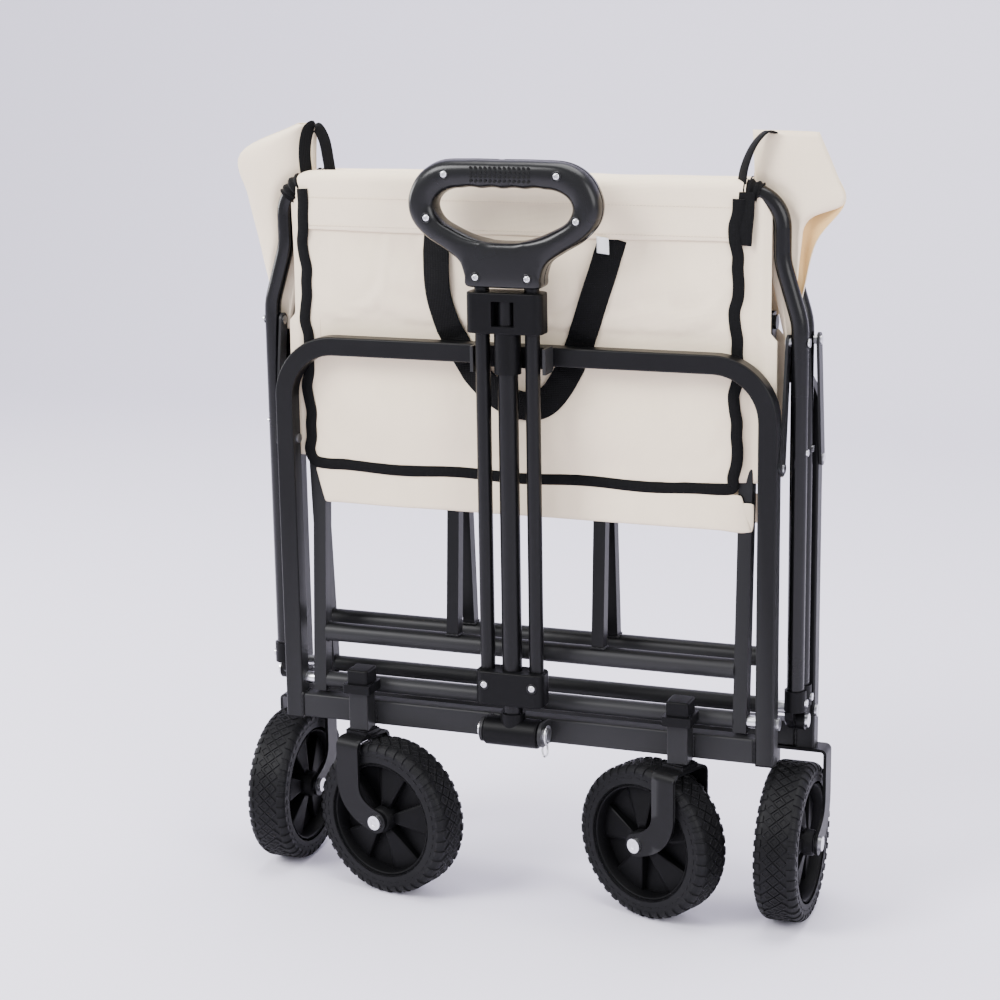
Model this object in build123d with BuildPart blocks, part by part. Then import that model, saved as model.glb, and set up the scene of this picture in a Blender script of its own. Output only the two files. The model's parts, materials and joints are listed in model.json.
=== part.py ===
from build123d import *
import os
from math import acos, asin, atan2, cos, degrees, hypot, radians, sin

# A folding four-wheeled utility wagon, stored folded and standing on its wheels.
# X runs across the wagon, Y from the handle side to the back, Z up from the ground.
# Sizes are in millimetres. Depths are measured from the plane where the two halves meet.

# Driving dimensions
MIDDLE_Y = 11.5  # the plane between the front half and the rear half
FRAME_DEPTH = 31.0  # from the middle plane to the middle of either end frame
FRONT_HALF_WIDTH = 240.0  # to the middle of a front frame leg
REAR_HALF_WIDTH = 264.0  # to the middle of a rear frame leg
FRAME_TUBE = 18.0  # square tube of both end frames
WALL = 1.5  # wall of every steel tube
TUBE_EDGE = 2.0  # outer edge radius of square and rectangular tube
FRAME_TOP_Z = 536.0
FRAME_FOOT_Z = 161.0
FRAME_CORNER = 52.0
CROSSBAR_HEIGHT = 24.0
TALL_HALF_WIDTH = 262.0
TALL_TOP_HALF_WIDTH = 245.0
TALL_BEND_Z = (572.0, 628.0)  # where the legs of a tall hoop start and stop leaning in
TALL_BEND_RADIUS = 60.0
TALL_CORNER = 32.0
TALL_TUBE_RADIUS = 8.0
TALL_DEPTH = 10.5
RIM_Z = 690.0
CENTRE_PIVOT_Z = 196.0
LOWER_LINK_Z = 442.0
UPPER_LINK_Z = 555.0
LINK_DEPTH = 28.0  # from the middle plane to the lower pivot of a swing link
FLOOR_PIVOT_Z = 198.0
FLOOR_PIVOT_DEPTH = 26.0
FLOOR_BOLT_RADIUS = 3.0
RIVET_RADIUS = 2.5
WHEEL_RADIUS = 76.0
WHEEL_WIDTH = 40.0
CASTER_HALF_TRACK = 162.0
CASTER_TRAIL = 33.0
LEFT_CASTER_ANGLE = -14.0
RIGHT_CASTER_ANGLE = 158.0
REAR_WHEEL_HALF_TRACK = 259.0
REAR_WHEEL_SET_BACK = 34.0
HANDLE_DEPTH = 61.0
HANDLE_PIVOT_Z = 176.0
SIDE_TUBE_SPACING = 24.4
PANEL_HALF_WIDTH = 212.0
PANEL_FOOT_Z = 418.0

FRONT_Y = MIDDLE_Y - FRAME_DEPTH
REAR_Y = MIDDLE_Y + FRAME_DEPTH
HANDLE_Y = MIDDLE_Y - HANDLE_DEPTH
SIDES = {"left": -1, "right": 1}
ENDS = {"front": -1, "rear": 1}
HALF_WIDTH = {"front": FRONT_HALF_WIDTH, "rear": REAR_HALF_WIDTH}
HALF_TUBE = FRAME_TUBE / 2
SNUG = 0.05  # radial clearance of a pin in a moving part
CROSSBAR_TOP_Z = FRAME_FOOT_Z + CROSSBAR_HEIGHT

# Length of a swing link and of a floor half, from where the pivots must be when the wagon is open.
LINK_LENGTH = hypot(LINK_DEPTH - TALL_DEPTH, UPPER_LINK_Z - LOWER_LINK_Z)
TALL_REACH = hypot(TALL_DEPTH, UPPER_LINK_Z - CENTRE_PIVOT_Z)
TALL_LEAN = acos((LOWER_LINK_Z - CENTRE_PIVOT_Z) / TALL_REACH)
OPEN_HALF_LENGTH = TALL_REACH * sin(TALL_LEAN) + LINK_LENGTH
FLOOR_LENGTH = OPEN_HALF_LENGTH - LINK_DEPTH + FLOOR_PIVOT_DEPTH
FLOOR_TILT = asin(FLOOR_PIVOT_DEPTH / FLOOR_LENGTH)
FOLD_TRAVEL = OPEN_HALF_LENGTH - LINK_DEPTH

# Floor ladder sections
ARM_WIDTH = 13.0
ARM_DEPTH = 14.0
ARM_FOOT = 10.4  # how far an arm runs on past its frame pivot
ARM_INSIDE = {"front": 208.0, "rear": 222.5}
MID_TUBE_DISTANCE = 49.0
UPPER_TUBE_DISTANCE = 240.0
FINGER_X = 74.0
FINGER_WIDTH = 12.0
MAT_START = 190.0
MAT_SHEET = 1.2


def depth(end, amount):
    """Y of a place that lies amount away from the middle plane, towards the named end."""
    return MIDDLE_Y + ENDS[end] * amount


def plane_at_y(y):
    """Upright plane across the wagon whose normal points to the handle side."""
    return Plane.XZ.offset(-y)


def rod_x(radius, x_from, x_to, y, z, mode=Mode.ADD):
    """Round bar along X between two x values, added to the open part."""
    with BuildSketch(Plane.YZ.offset(min(x_from, x_to))) as section:
        with Locations((y, z)):
            Circle(radius)
    extrude(section.sketch, amount=abs(x_to - x_from), mode=mode)


def rod_z(radius, x, y, z_from, z_to, mode=Mode.ADD):
    """Round bar along Z between two heights, added to the open part."""
    with BuildSketch(Plane.XY.offset(z_from)) as section:
        with Locations((x, y)):
            Circle(radius)
    extrude(section.sketch, amount=z_to - z_from, mode=mode)


def block(x_span, y_span, z_span, rounding=0.0, mode=Mode.ADD):
    """Box between three pairs of limits, with its upright edges rounded."""
    width = x_span[1] - x_span[0]
    length = y_span[1] - y_span[0]
    with BuildSketch(Plane.XY.offset(z_span[0])) as section:
        with Locations((sum(x_span) / 2, sum(y_span) / 2)):
            if rounding:
                RectangleRounded(width, length, rounding)
            else:
                Rectangle(width, length)
    extrude(section.sketch, amount=z_span[1] - z_span[0], mode=mode)


def plate(face, amount, mode=Mode.ADD):
    """Flat piece as thick as amount on each side of its sketch."""
    extrude(face, amount=amount, both=True, mode=mode)


def write(piece, label):
    """Name a finished piece and write its STEP file."""
    piece.part.label = label
    export_step(piece.part, f"parts/{label}.step")


# --- End frames -----------------------------------------------------------


def frame_hoop(end):
    """Inverted U of square tube, drilled for its link rivets and floor bolts."""
    half = HALF_WIDTH[end]
    y = depth(end, FRAME_DEPTH)
    inside = FRAME_TUBE - 2 * WALL
    with BuildPart() as hoop:
        with BuildLine(plane_at_y(y)) as route:
            FilletPolyline((-half, FRAME_FOOT_Z), (-half, FRAME_TOP_Z), (half, FRAME_TOP_Z),
                           (half, FRAME_FOOT_Z), radius=FRAME_CORNER)
        with BuildSketch(Plane.XY.offset(FRAME_FOOT_Z)) as section:
            with Locations((-half, y)):
                RectangleRounded(FRAME_TUBE, FRAME_TUBE, TUBE_EDGE)
                Rectangle(inside, inside, mode=Mode.SUBTRACT)
        sweep(section.sketch, path=route.wire())
        for side in SIDES.values():
            inner, outer = side * (half - HALF_TUBE), side * (half + HALF_TUBE)
            rod_x(RIVET_RADIUS, inner, outer, depth(end, LINK_DEPTH), LOWER_LINK_Z, Mode.SUBTRACT)
            rod_x(FLOOR_BOLT_RADIUS, inner, outer, depth(end, FLOOR_PIVOT_DEPTH), FLOOR_PIVOT_Z,
                  Mode.SUBTRACT)
    return hoop


def crossbar(end):
    """Rectangular tube welded between the feet of an end frame."""
    half = HALF_WIDTH[end] - HALF_TUBE
    y = depth(end, FRAME_DEPTH)
    with BuildPart() as bar:
        block((-half, half), (y - HALF_TUBE, y + HALF_TUBE), (FRAME_FOOT_Z, CROSSBAR_TOP_Z))
        fillet(bar.edges().filter_by(Axis.X), TUBE_EDGE)
        block((-half, half), (y - HALF_TUBE + WALL, y + HALF_TUBE - WALL),
              (FRAME_FOOT_Z + WALL, CROSSBAR_TOP_Z - WALL), mode=Mode.SUBTRACT)
    return bar


def frame_bolts(end):
    """Rivets of the swing links, shouldered bolts of the floor half, and the handle's pivot bolt."""
    inner = HALF_WIDTH[end] - HALF_TUBE
    outer = HALF_WIDTH[end] + HALF_TUBE
    y_link, y_floor = depth(end, LINK_DEPTH), depth(end, FLOOR_PIVOT_DEPTH)
    arm_inside = ARM_INSIDE[end]
    link_outside = LINK_X[end] + LINK_THICKNESS
    with BuildPart() as bolts:
        for side in SIDES.values():
            rod_x(RIVET_RADIUS, side * (inner - 1.2), side * (link_outside + 1.2), y_link,
                  LOWER_LINK_Z)
            rod_x(4.5, side * (inner - 1.5), side * inner, y_link, LOWER_LINK_Z)
            rod_x(4.5, side * link_outside, side * (link_outside + 1.2), y_link, LOWER_LINK_Z)
            rod_x(FLOOR_BOLT_RADIUS, side * (arm_inside + 0.5), side * (outer + 1), y_floor,
                  FLOOR_PIVOT_Z)
            rod_x(6, side * (arm_inside + ARM_WIDTH + 0.2), side * inner, y_floor, FLOOR_PIVOT_Z)
            rod_x(6, side * outer, side * (outer + 2.4), y_floor, FLOOR_PIVOT_Z)
        if end == "front":
            outside = CLEVIS_GAP + 3
            rod_x(4, -outside, outside + 4, HANDLE_Y, HANDLE_PIVOT_Z)
            rod_x(7, -outside - 3, -outside, HANDLE_Y, HANDLE_PIVOT_Z)
            rod_x(6.5, outside, outside + 5, HANDLE_Y, HANDLE_PIVOT_Z)
    return bolts


# --- Swing links ----------------------------------------------------------

LINK_THICKNESS = 2.5
LINK_WIDTH = 14.0
LINK_X = {
    "front": FRONT_HALF_WIDTH + HALF_TUBE + 1.2,
    "rear": REAR_HALF_WIDTH + HALF_TUBE + 0.6,
}


def swing_links(end):
    """Flat steel strip on each side, from an end frame leg to the tall hoop's leg."""
    low = (depth(end, LINK_DEPTH), LOWER_LINK_Z)
    high = (depth(end, TALL_DEPTH), UPPER_LINK_Z)
    middle = ((low[0] + high[0]) / 2, (low[1] + high[1]) / 2)
    lean = degrees(atan2(high[1] - low[1], high[0] - low[0]))
    with BuildPart() as links:
        for side in SIDES.values():
            inner = LINK_X[end] if side > 0 else -LINK_X[end] - LINK_THICKNESS
            with BuildSketch(Plane.YZ.offset(inner)) as strip:
                with Locations(Location((*middle, 0), (0, 0, lean))):
                    SlotCenterToCenter(LINK_LENGTH, LINK_WIDTH)
                with Locations(low, high):
                    Circle(RIVET_RADIUS + SNUG, mode=Mode.SUBTRACT)
            extrude(strip.sketch, amount=LINK_THICKNESS)
    return links


def link_rivets(end):
    """Rivet on each side that joins a swing link to the tall hoop's leg."""
    y, z = depth(end, TALL_DEPTH), UPPER_LINK_Z
    strip_in = LINK_X[end]
    strip_out = LINK_X[end] + LINK_THICKNESS
    near = TALL_HALF_WIDTH - TALL_TUBE_RADIUS
    far = TALL_HALF_WIDTH + TALL_TUBE_RADIUS
    with BuildPart() as rivets:
        for side in SIDES.values():
            if end == "front":
                rod_x(RIVET_RADIUS, side * (strip_in - 0.8), side * (far + 0.5), y, z)
                rod_x(4.2, side * (strip_in - 0.9), side * strip_in, y, z)
                rod_x(4.2, side * strip_out, side * (near - 0.1), y, z)
                rod_x(4.2, side * (far + 0.2), side * (far + 1.6), y, z)
            else:
                rod_x(RIVET_RADIUS, side * (near - 0.5), side * (strip_out + 0.5), y, z)
                rod_x(4.2, side * (near - 1.6), side * (near - 0.2), y, z)
                rod_x(4.2, side * (far + 0.2), side * strip_in, y, z)
                rod_x(4.2, side * strip_out, side * (strip_out + 1.4), y, z)
    return rivets


# --- Tall hoops -----------------------------------------------------------

CAP_RADIUS = 10.2
CAP_FOOT_Z = CENTRE_PIVOT_Z + 12.0
CAP_TOP_Z = CENTRE_PIVOT_Z + 32.0
TUBE_FOOT_Z = CAP_FOOT_Z + 2.0
EAR_RADIUS = 9.0
EAR_SPAN = {"front": (254.0, 261.7), "rear": (262.3, 270.0)}


def tall_hoop(end):
    """Round tube hoop whose top bar carries the rim of the bag."""
    y = depth(end, TALL_DEPTH)
    bend = TALL_BEND_RADIUS
    with BuildPart() as hoop:
        with BuildLine(plane_at_y(y)) as route:
            FilletPolyline(
                (-TALL_HALF_WIDTH, TUBE_FOOT_Z),
                (-TALL_HALF_WIDTH, TALL_BEND_Z[0]),
                (-TALL_TOP_HALF_WIDTH, TALL_BEND_Z[1]),
                (-TALL_TOP_HALF_WIDTH, RIM_Z),
                (TALL_TOP_HALF_WIDTH, RIM_Z),
                (TALL_TOP_HALF_WIDTH, TALL_BEND_Z[1]),
                (TALL_HALF_WIDTH, TALL_BEND_Z[0]),
                (TALL_HALF_WIDTH, TUBE_FOOT_Z),
                radius=[bend, bend, TALL_CORNER, TALL_CORNER, bend, bend],
            )
        with BuildSketch(Plane.XY.offset(TUBE_FOOT_Z)) as section:
            with Locations((-TALL_HALF_WIDTH, y)):
                Circle(TALL_TUBE_RADIUS)
                Circle(TALL_TUBE_RADIUS - WALL, mode=Mode.SUBTRACT)
        sweep(section.sketch, path=route.wire())
        for side in SIDES.values():
            near = side * (TALL_HALF_WIDTH - TALL_TUBE_RADIUS - 1)
            far = side * (TALL_HALF_WIDTH + TALL_TUBE_RADIUS + 1)
            rod_x(RIVET_RADIUS + SNUG, near, far, y, UPPER_LINK_Z, Mode.SUBTRACT)
            rivet_seat = side * (TALL_HALF_WIDTH + TALL_TUBE_RADIUS - 0.4)
            rod_x(3.2, rivet_seat, far, y, LOWER_LINK_Z + 12, Mode.SUBTRACT)
    return hoop


def foot_caps(end):
    """Moulded foot on each leg of a tall hoop, with an ear round the shared centre pivot."""
    y = depth(end, TALL_DEPTH)
    toward = ENDS[end]
    with BuildPart() as caps:
        for side in SIDES.values():
            x = side * TALL_HALF_WIDTH
            rod_z(CAP_RADIUS, x, y, CAP_FOOT_Z, CAP_TOP_Z)
            rod_z(TALL_TUBE_RADIUS, x, y, TUBE_FOOT_Z, CAP_TOP_Z, Mode.SUBTRACT)
            face = TALL_HALF_WIDTH + CAP_RADIUS
            rod_x(3.6, side * (face - 0.6), side * (face + 1), y, CAP_FOOT_Z + 8, Mode.SUBTRACT)
            ear_low = min(side * EAR_SPAN[end][0], side * EAR_SPAN[end][1])
            with BuildSketch(Plane.YZ.offset(ear_low)) as ear:
                with Locations((MIDDLE_Y, CENTRE_PIVOT_Z)):
                    Circle(EAR_RADIUS)
                with BuildLine():
                    Polyline(
                        (MIDDLE_Y + toward * 3, CAP_FOOT_Z),
                        (MIDDLE_Y + toward * 20, CAP_FOOT_Z),
                        (MIDDLE_Y + toward * 18, CAP_FOOT_Z - 8),
                        (MIDDLE_Y + toward * 2, CENTRE_PIVOT_Z - EAR_RADIUS + 0.3),
                        (MIDDLE_Y - toward * 6, CENTRE_PIVOT_Z + 6),
                        close=True,
                    )
                make_face()
                with Locations((MIDDLE_Y, CENTRE_PIVOT_Z)):
                    Circle(4 + (SNUG if end == "rear" else 0), mode=Mode.SUBTRACT)
            extrude(ear.sketch, amount=EAR_SPAN[end][1] - EAR_SPAN[end][0])
    return caps


def hoop_screws(end):
    """Cap screw and rivet on each leg; the front ones include the bolts of the centre pivot."""
    y = depth(end, TALL_DEPTH)
    low, high = EAR_SPAN["front"][0], EAR_SPAN["rear"][1]
    with BuildPart() as screws:
        for side in SIDES.values():
            face = TALL_HALF_WIDTH + CAP_RADIUS
            rod_x(3.6, side * (face - 0.6), side * (face + 1.4), y, CAP_FOOT_Z + 8)
            face = TALL_HALF_WIDTH + TALL_TUBE_RADIUS
            rod_x(3.2, side * (face - 0.4), side * (face + 1.2), y, LOWER_LINK_Z + 12)
            if end == "front":
                rod_x(4, side * (low - 1), side * (high + 1), MIDDLE_Y, CENTRE_PIVOT_Z)
                rod_x(6.5, side * (low - 2.6), side * low, MIDDLE_Y, CENTRE_PIVOT_Z)
                rod_x(6.5, side * (high + 0.2), side * (high + 2.8), MIDDLE_Y, CENTRE_PIVOT_Z)
    return screws


# --- Folding floor --------------------------------------------------------


def ladder_point(end, distance):
    """Y and Z of a place on a floor half, by its distance from the frame pivot."""
    y = depth(end, FLOOR_PIVOT_DEPTH - distance * sin(FLOOR_TILT))
    return y, FLOOR_PIVOT_Z + distance * cos(FLOOR_TILT)


def ladder_plane(end):
    """Plane of a floor half: local X across, local Y away from the frame pivot."""
    toward = ENDS[end]
    origin = (0, depth(end, FLOOR_PIVOT_DEPTH), FLOOR_PIVOT_Z)
    normal = (0, -cos(FLOOR_TILT), -toward * sin(FLOOR_TILT))
    return Plane(origin=origin, x_dir=(1, 0, 0), z_dir=normal)


def floor_arms(end):
    """The two long side tubes of a floor half, from the frame pivot to the centre hinge."""
    inside = ARM_INSIDE[end]
    length = FLOOR_LENGTH + ARM_FOOT + 9
    with BuildPart() as arms:
        for side in SIDES.values():
            for wall, mode in ((0, Mode.ADD), (WALL, Mode.SUBTRACT)):
                with BuildSketch(ladder_plane(end)) as arm:
                    with Locations((side * (inside + ARM_WIDTH / 2), length / 2 - ARM_FOOT)):
                        Rectangle(ARM_WIDTH - 2 * wall, length)
                plate(arm.sketch, ARM_DEPTH / 2 - wall, mode)
        for distance in (0, FLOOR_LENGTH):
            y, z = ladder_point(end, distance)
            reach = inside + ARM_WIDTH + 1
            rod_x(FLOOR_BOLT_RADIUS + SNUG, -reach, reach, y, z, Mode.SUBTRACT)
    return arms


def floor_cross_tubes(end):
    """Hinge tube, round cross tubes and the two pairs of uprights welded between them."""
    inside = ARM_INSIDE[end]
    rods = ((8, 0), (9.5, MID_TUBE_DISTANCE), (6, UPPER_TUBE_DISTANCE))
    middle = (MID_TUBE_DISTANCE + UPPER_TUBE_DISTANCE) / 2
    with BuildPart() as tubes:
        for wall, mode in ((0, Mode.ADD), (WALL, Mode.SUBTRACT)):
            for radius, distance in rods:
                rod_x(radius - wall, -inside, inside, *ladder_point(end, distance), mode)
            with BuildSketch(ladder_plane(end)) as fingers:
                with Locations((-FINGER_X, middle), (FINGER_X, middle)):
                    Rectangle(FINGER_WIDTH - 2 * wall, UPPER_TUBE_DISTANCE - MID_TUBE_DISTANCE)
            plate(fingers.sketch, FINGER_WIDTH / 2 - wall, mode)
    return tubes


def floor_hinge_bolts(end):
    """Head or nut at the centre hinge of a floor half, stopping short of the other half."""
    y, z = ladder_point(end, FLOOR_LENGTH)
    inside = ARM_INSIDE[end]
    outside = inside + ARM_WIDTH
    with BuildPart() as bolts:
        for side in SIDES.values():
            if end == "front":
                rod_x(6.5, side * (inside - 3), side * inside, y, z)
                rod_x(FLOOR_BOLT_RADIUS, side * (inside - 1), side * (outside - 0.2), y, z)
            else:
                rod_x(6.5, side * outside, side * (outside + 3), y, z)
                rod_x(FLOOR_BOLT_RADIUS, side * (inside + 0.2), side * (outside + 1), y, z)
    return bolts


def floor_mat(end):
    """Padded fabric half of the bag's floor, lying against the bag side of a floor half."""
    toward = ENDS[end]
    with BuildPart() as mat:
        with BuildSketch(ladder_plane(end)) as sheet:
            length = FLOOR_LENGTH - MAT_START
            with Locations((0, MAT_START + length / 2)):
                Rectangle(2 * (PANEL_HALF_WIDTH - BINDING_WIDTH) - 8, length)
        lift = FINGER_WIDTH / 2 + 0.2
        extrude(sheet.sketch.moved(Location((0, toward * lift, 0))), amount=-toward * MAT_SHEET)
    return mat


# --- Wheels ---------------------------------------------------------------

TYRE_INSIDE = 57.0
HUB_HALF_WIDTH = 16.0
AXLE_RADIUS = 4.0
FORK_GAP = 23.5
FORK_SHEET = 3.0
SPOKES = 5


def wheel_plane(x, y, angle):
    """Plane through a wheel's middle, its normal along the axle; angle turns it about Z."""
    axle = (-sin(radians(angle)), cos(radians(angle)), 0)
    return Plane(origin=(x, y, WHEEL_RADIUS), x_dir=(cos(radians(angle)), sin(radians(angle)), 0),
                 z_dir=axle)


def tyre(plane):
    """Rubber tyre with rounded shoulders."""
    with BuildPart() as ring:
        with BuildSketch(plane) as section:
            Circle(WHEEL_RADIUS)
        plate(section.sketch, WHEEL_WIDTH / 2)
        outer = ring.edges().filter_by(GeomType.CIRCLE)
        fillet(outer, 7)
        with BuildSketch(plane) as bore:
            Circle(TYRE_INSIDE)
        plate(bore.sketch, WHEEL_WIDTH, Mode.SUBTRACT)
    return ring


def hub(plane):
    """Moulded wheel centre: rim, web, boss and five raised wedge panels on each face."""
    with BuildPart() as centre:
        with BuildSketch(plane) as rim:
            Circle(TYRE_INSIDE)
            Circle(TYRE_INSIDE - 4, mode=Mode.SUBTRACT)
        plate(rim.sketch, HUB_HALF_WIDTH)
        with BuildSketch(plane) as web:
            Circle(TYRE_INSIDE - 3)
        plate(web.sketch, 3)
        with BuildSketch(plane) as boss:
            Circle(13)
        plate(boss.sketch, FORK_GAP - 1)
        with BuildSketch(plane) as panels:
            Circle(TYRE_INSIDE - 3)
            Circle(10, mode=Mode.SUBTRACT)
            with PolarLocations(0, SPOKES):
                with BuildLine():
                    reach = 2 * TYRE_INSIDE
                    sweep_angle = 36
                    Polyline((0, 0), (reach, 0),
                             (reach * cos(radians(sweep_angle)), reach * sin(radians(sweep_angle))),
                             close=True)
                make_face(mode=Mode.SUBTRACT)
        plate(panels.sketch, 11)
        with BuildSketch(plane) as bore:
            Circle(AXLE_RADIUS + SNUG)
        plate(bore.sketch, 2 * FORK_GAP, Mode.SUBTRACT)
    return centre


# --- Casters --------------------------------------------------------------

POST_SIDE = 20.0
POST_Y = FRONT_Y - HALF_TUBE - POST_SIDE / 2
POST_FOOT_Z = 161.0
POST_TOP_Z = 198.0
CROWN_TOP_Z = 155.0
CROWN_SHEET = 3.0
KINGPIN_RADIUS = 6.0
CASTER_ANGLE = {"left": LEFT_CASTER_ANGLE, "right": RIGHT_CASTER_ANGLE}


def caster_wheel_plane(side):
    """Plane through a caster wheel's middle, where it trails from its post."""
    angle = CASTER_ANGLE[side]
    x = SIDES[side] * CASTER_HALF_TRACK + CASTER_TRAIL * cos(radians(angle))
    y = POST_Y + CASTER_TRAIL * sin(radians(angle))
    return wheel_plane(x, y, angle)


def caster_posts():
    """Square tube posts welded to the front crossbar, bored for the kingpins."""
    with BuildPart() as posts:
        for side in SIDES.values():
            x = side * CASTER_HALF_TRACK
            half = POST_SIDE / 2
            block((x - half, x + half), (POST_Y - half, POST_Y + half),
                  (POST_FOOT_Z, POST_TOP_Z), 1.5)
            rod_z(KINGPIN_RADIUS + SNUG, x, POST_Y, POST_FOOT_Z, POST_TOP_Z - 8, Mode.SUBTRACT)
    return posts


def post_caps():
    """Stepped plastic cap on each caster post."""
    with BuildPart() as caps:
        for side in SIDES.values():
            x = side * CASTER_HALF_TRACK
            half = POST_SIDE / 2
            block((x - half - 4, x + half + 4), (POST_Y - half - 4, POST_Y + half + 6),
                  (POST_TOP_Z, POST_TOP_Z + 9), 2)
            block((x - half - 1, x + half + 1), (POST_Y - half - 1, POST_Y + half + 4),
                  (POST_TOP_Z + 9, POST_TOP_Z + 23), 3)
        fillet(caps.faces().filter_by(Axis.Z).group_by(Axis.Z)[-1].edges(), 2)
    return caps


def caster_fork(side):
    """Pressed sheet fork: crown, two curved legs and the square collar under the post."""
    plane = caster_wheel_plane(side)
    crown_z = CROWN_TOP_Z - WHEEL_RADIUS
    stem = -CASTER_TRAIL
    # Local X points along the trail, local Y up once the plane is turned upright.
    upright = Plane(origin=plane.origin, x_dir=plane.x_dir, z_dir=-plane.z_dir)
    half_leg = 13.0
    knee = 30.0
    eye = 11.5
    with BuildPart() as fork:
        for direction in (1, -1):
            with BuildSketch(upright.offset(direction * (FORK_GAP + FORK_SHEET / 2))) as leg:
                with BuildLine():
                    top_left = (stem - half_leg, crown_z)
                    top_right = (stem + half_leg, crown_z)
                    Line(top_left, top_right)
                    Line(top_right, (stem + half_leg, knee + 4))
                    Spline((stem + half_leg, knee + 4), (eye * 0.75, eye * 0.66),
                           tangents=((0, -1), (0.62, -0.72)))
                    ThreePointArc((eye * 0.75, eye * 0.66), (eye * 0.3, -eye * 0.954),
                                  (-eye * 0.87, -eye * 0.5))
                    Spline((-eye * 0.87, -eye * 0.5), (stem - half_leg, knee),
                           tangents=((-0.62, 0.78), (0, 1)))
                    Line((stem - half_leg, knee), top_left)
                make_face()
                Circle(AXLE_RADIUS, mode=Mode.SUBTRACT)
            plate(leg.sketch, FORK_SHEET / 2)
        with BuildSketch(upright) as crown:
            with Locations((stem, crown_z - CROWN_SHEET / 2)):
                Rectangle(2 * half_leg, CROWN_SHEET)
        plate(crown.sketch, FORK_GAP + FORK_SHEET)
        stem_at = (SIDES[side] * CASTER_HALF_TRACK, POST_Y)
        with BuildSketch(Plane.XY.offset(CROWN_TOP_Z)) as collar:
            with Locations(Location((*stem_at, 0), (0, 0, CASTER_ANGLE[side]))):
                RectangleRounded(25, 25, 4)
        extrude(collar.sketch, amount=POST_FOOT_Z - CROWN_TOP_Z - 0.3)
    return fork


def caster_pins(side):
    """Axle bolt with its domed heads, and the kingpin that turns in the post."""
    plane = caster_wheel_plane(side)
    outside = FORK_GAP + FORK_SHEET
    with BuildPart() as pins:
        with BuildSketch(plane) as shank:
            Circle(AXLE_RADIUS)
        plate(shank.sketch, outside)
        for direction in (1, -1):
            with BuildSketch(plane.offset(direction * outside)) as head:
                Circle(7)
            extrude(head.sketch, amount=direction * 3)
        rod_z(KINGPIN_RADIUS, SIDES[side] * CASTER_HALF_TRACK, POST_Y,
              POST_FOOT_Z - 0.3, POST_TOP_Z - 9)
    return pins


# --- Rear wheels ----------------------------------------------------------

REAR_WHEEL_Y = REAR_Y - REAR_WHEEL_SET_BACK
REAR_CROWN_TOP_Z = FRAME_FOOT_Z


def rear_forks():
    """Pressed fork under each rear leg, its legs sloping in to the axle."""
    inner_x = REAR_WHEEL_HALF_TRACK - FORK_GAP - FORK_SHEET
    outer_x = REAR_WHEEL_HALF_TRACK + FORK_GAP
    half_leg = 11.0
    knee_z = 112.0
    eye = 11.0
    with BuildPart() as forks:
        for side in SIDES.values():
            for x in (inner_x, outer_x):
                low = min(side * x, side * (x + FORK_SHEET))
                with BuildSketch(Plane.YZ.offset(low)) as leg:
                    with BuildLine():
                        Line((REAR_Y - half_leg, REAR_CROWN_TOP_Z), (REAR_Y + half_leg, REAR_CROWN_TOP_Z))
                        Line((REAR_Y + half_leg, REAR_CROWN_TOP_Z), (REAR_Y + half_leg, knee_z))
                        Spline((REAR_Y + half_leg, knee_z),
                               (REAR_WHEEL_Y + 0.64 * eye, WHEEL_RADIUS - 0.77 * eye),
                               tangents=((0, -1), (-0.77, -0.64)))
                        ThreePointArc((REAR_WHEEL_Y + 0.64 * eye, WHEEL_RADIUS - 0.77 * eye),
                                      (REAR_WHEEL_Y - 0.77 * eye, WHEEL_RADIUS - 0.64 * eye),
                                      (REAR_WHEEL_Y - 0.64 * eye, WHEEL_RADIUS + 0.77 * eye))
                        Spline((REAR_WHEEL_Y - 0.64 * eye, WHEEL_RADIUS + 0.77 * eye),
                               (REAR_Y - half_leg, knee_z + 6),
                               tangents=((0.77, 0.64), (0, 1)))
                        Line((REAR_Y - half_leg, knee_z + 6), (REAR_Y - half_leg, REAR_CROWN_TOP_Z))
                    make_face()
                    with Locations((REAR_WHEEL_Y, WHEEL_RADIUS)):
                        Circle(AXLE_RADIUS, mode=Mode.SUBTRACT)
                extrude(leg.sketch, amount=FORK_SHEET)
            x_span = sorted((side * inner_x, side * (outer_x + FORK_SHEET)))
            block(x_span, (REAR_Y - half_leg, REAR_Y + half_leg),
                  (REAR_CROWN_TOP_Z - 4, REAR_CROWN_TOP_Z))
    return forks


def rear_wheel_plane(side):
    """Plane through a rear wheel's middle."""
    return wheel_plane(SIDES[side] * REAR_WHEEL_HALF_TRACK, REAR_WHEEL_Y, 90)


def rear_axles():
    """Axle bolts of both rear wheels."""
    outside = FORK_GAP + FORK_SHEET
    with BuildPart() as bolts:
        for side in SIDES.values():
            middle = side * REAR_WHEEL_HALF_TRACK
            rod_x(AXLE_RADIUS, middle - outside, middle + outside, REAR_WHEEL_Y, WHEEL_RADIUS)
            for direction in (1, -1):
                face = middle + direction * outside
                rod_x(7, face, face + direction * 3, REAR_WHEEL_Y, WHEEL_RADIUS)
    return bolts


# --- Handle ---------------------------------------------------------------

BARREL_RADIUS = 14.0
BARREL_HALF = 27.0
CLEVIS_GAP = 28.0
STEM_RADIUS = 9.5
SIDE_TUBE_RADIUS = 7.0
COLLAR_SPAN_Z = (561.0, 599.0)
YOKE_SPAN_Z = (205.0, 238.0)
NECK_FOOT_Z = 603.0
GRIP_TOP_Z = 719.0
GRIP_HALF_DEPTH = 15.0
GRIP_EDGE = 9.0
GRIP_INNER_EDGE = 4.0


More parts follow.
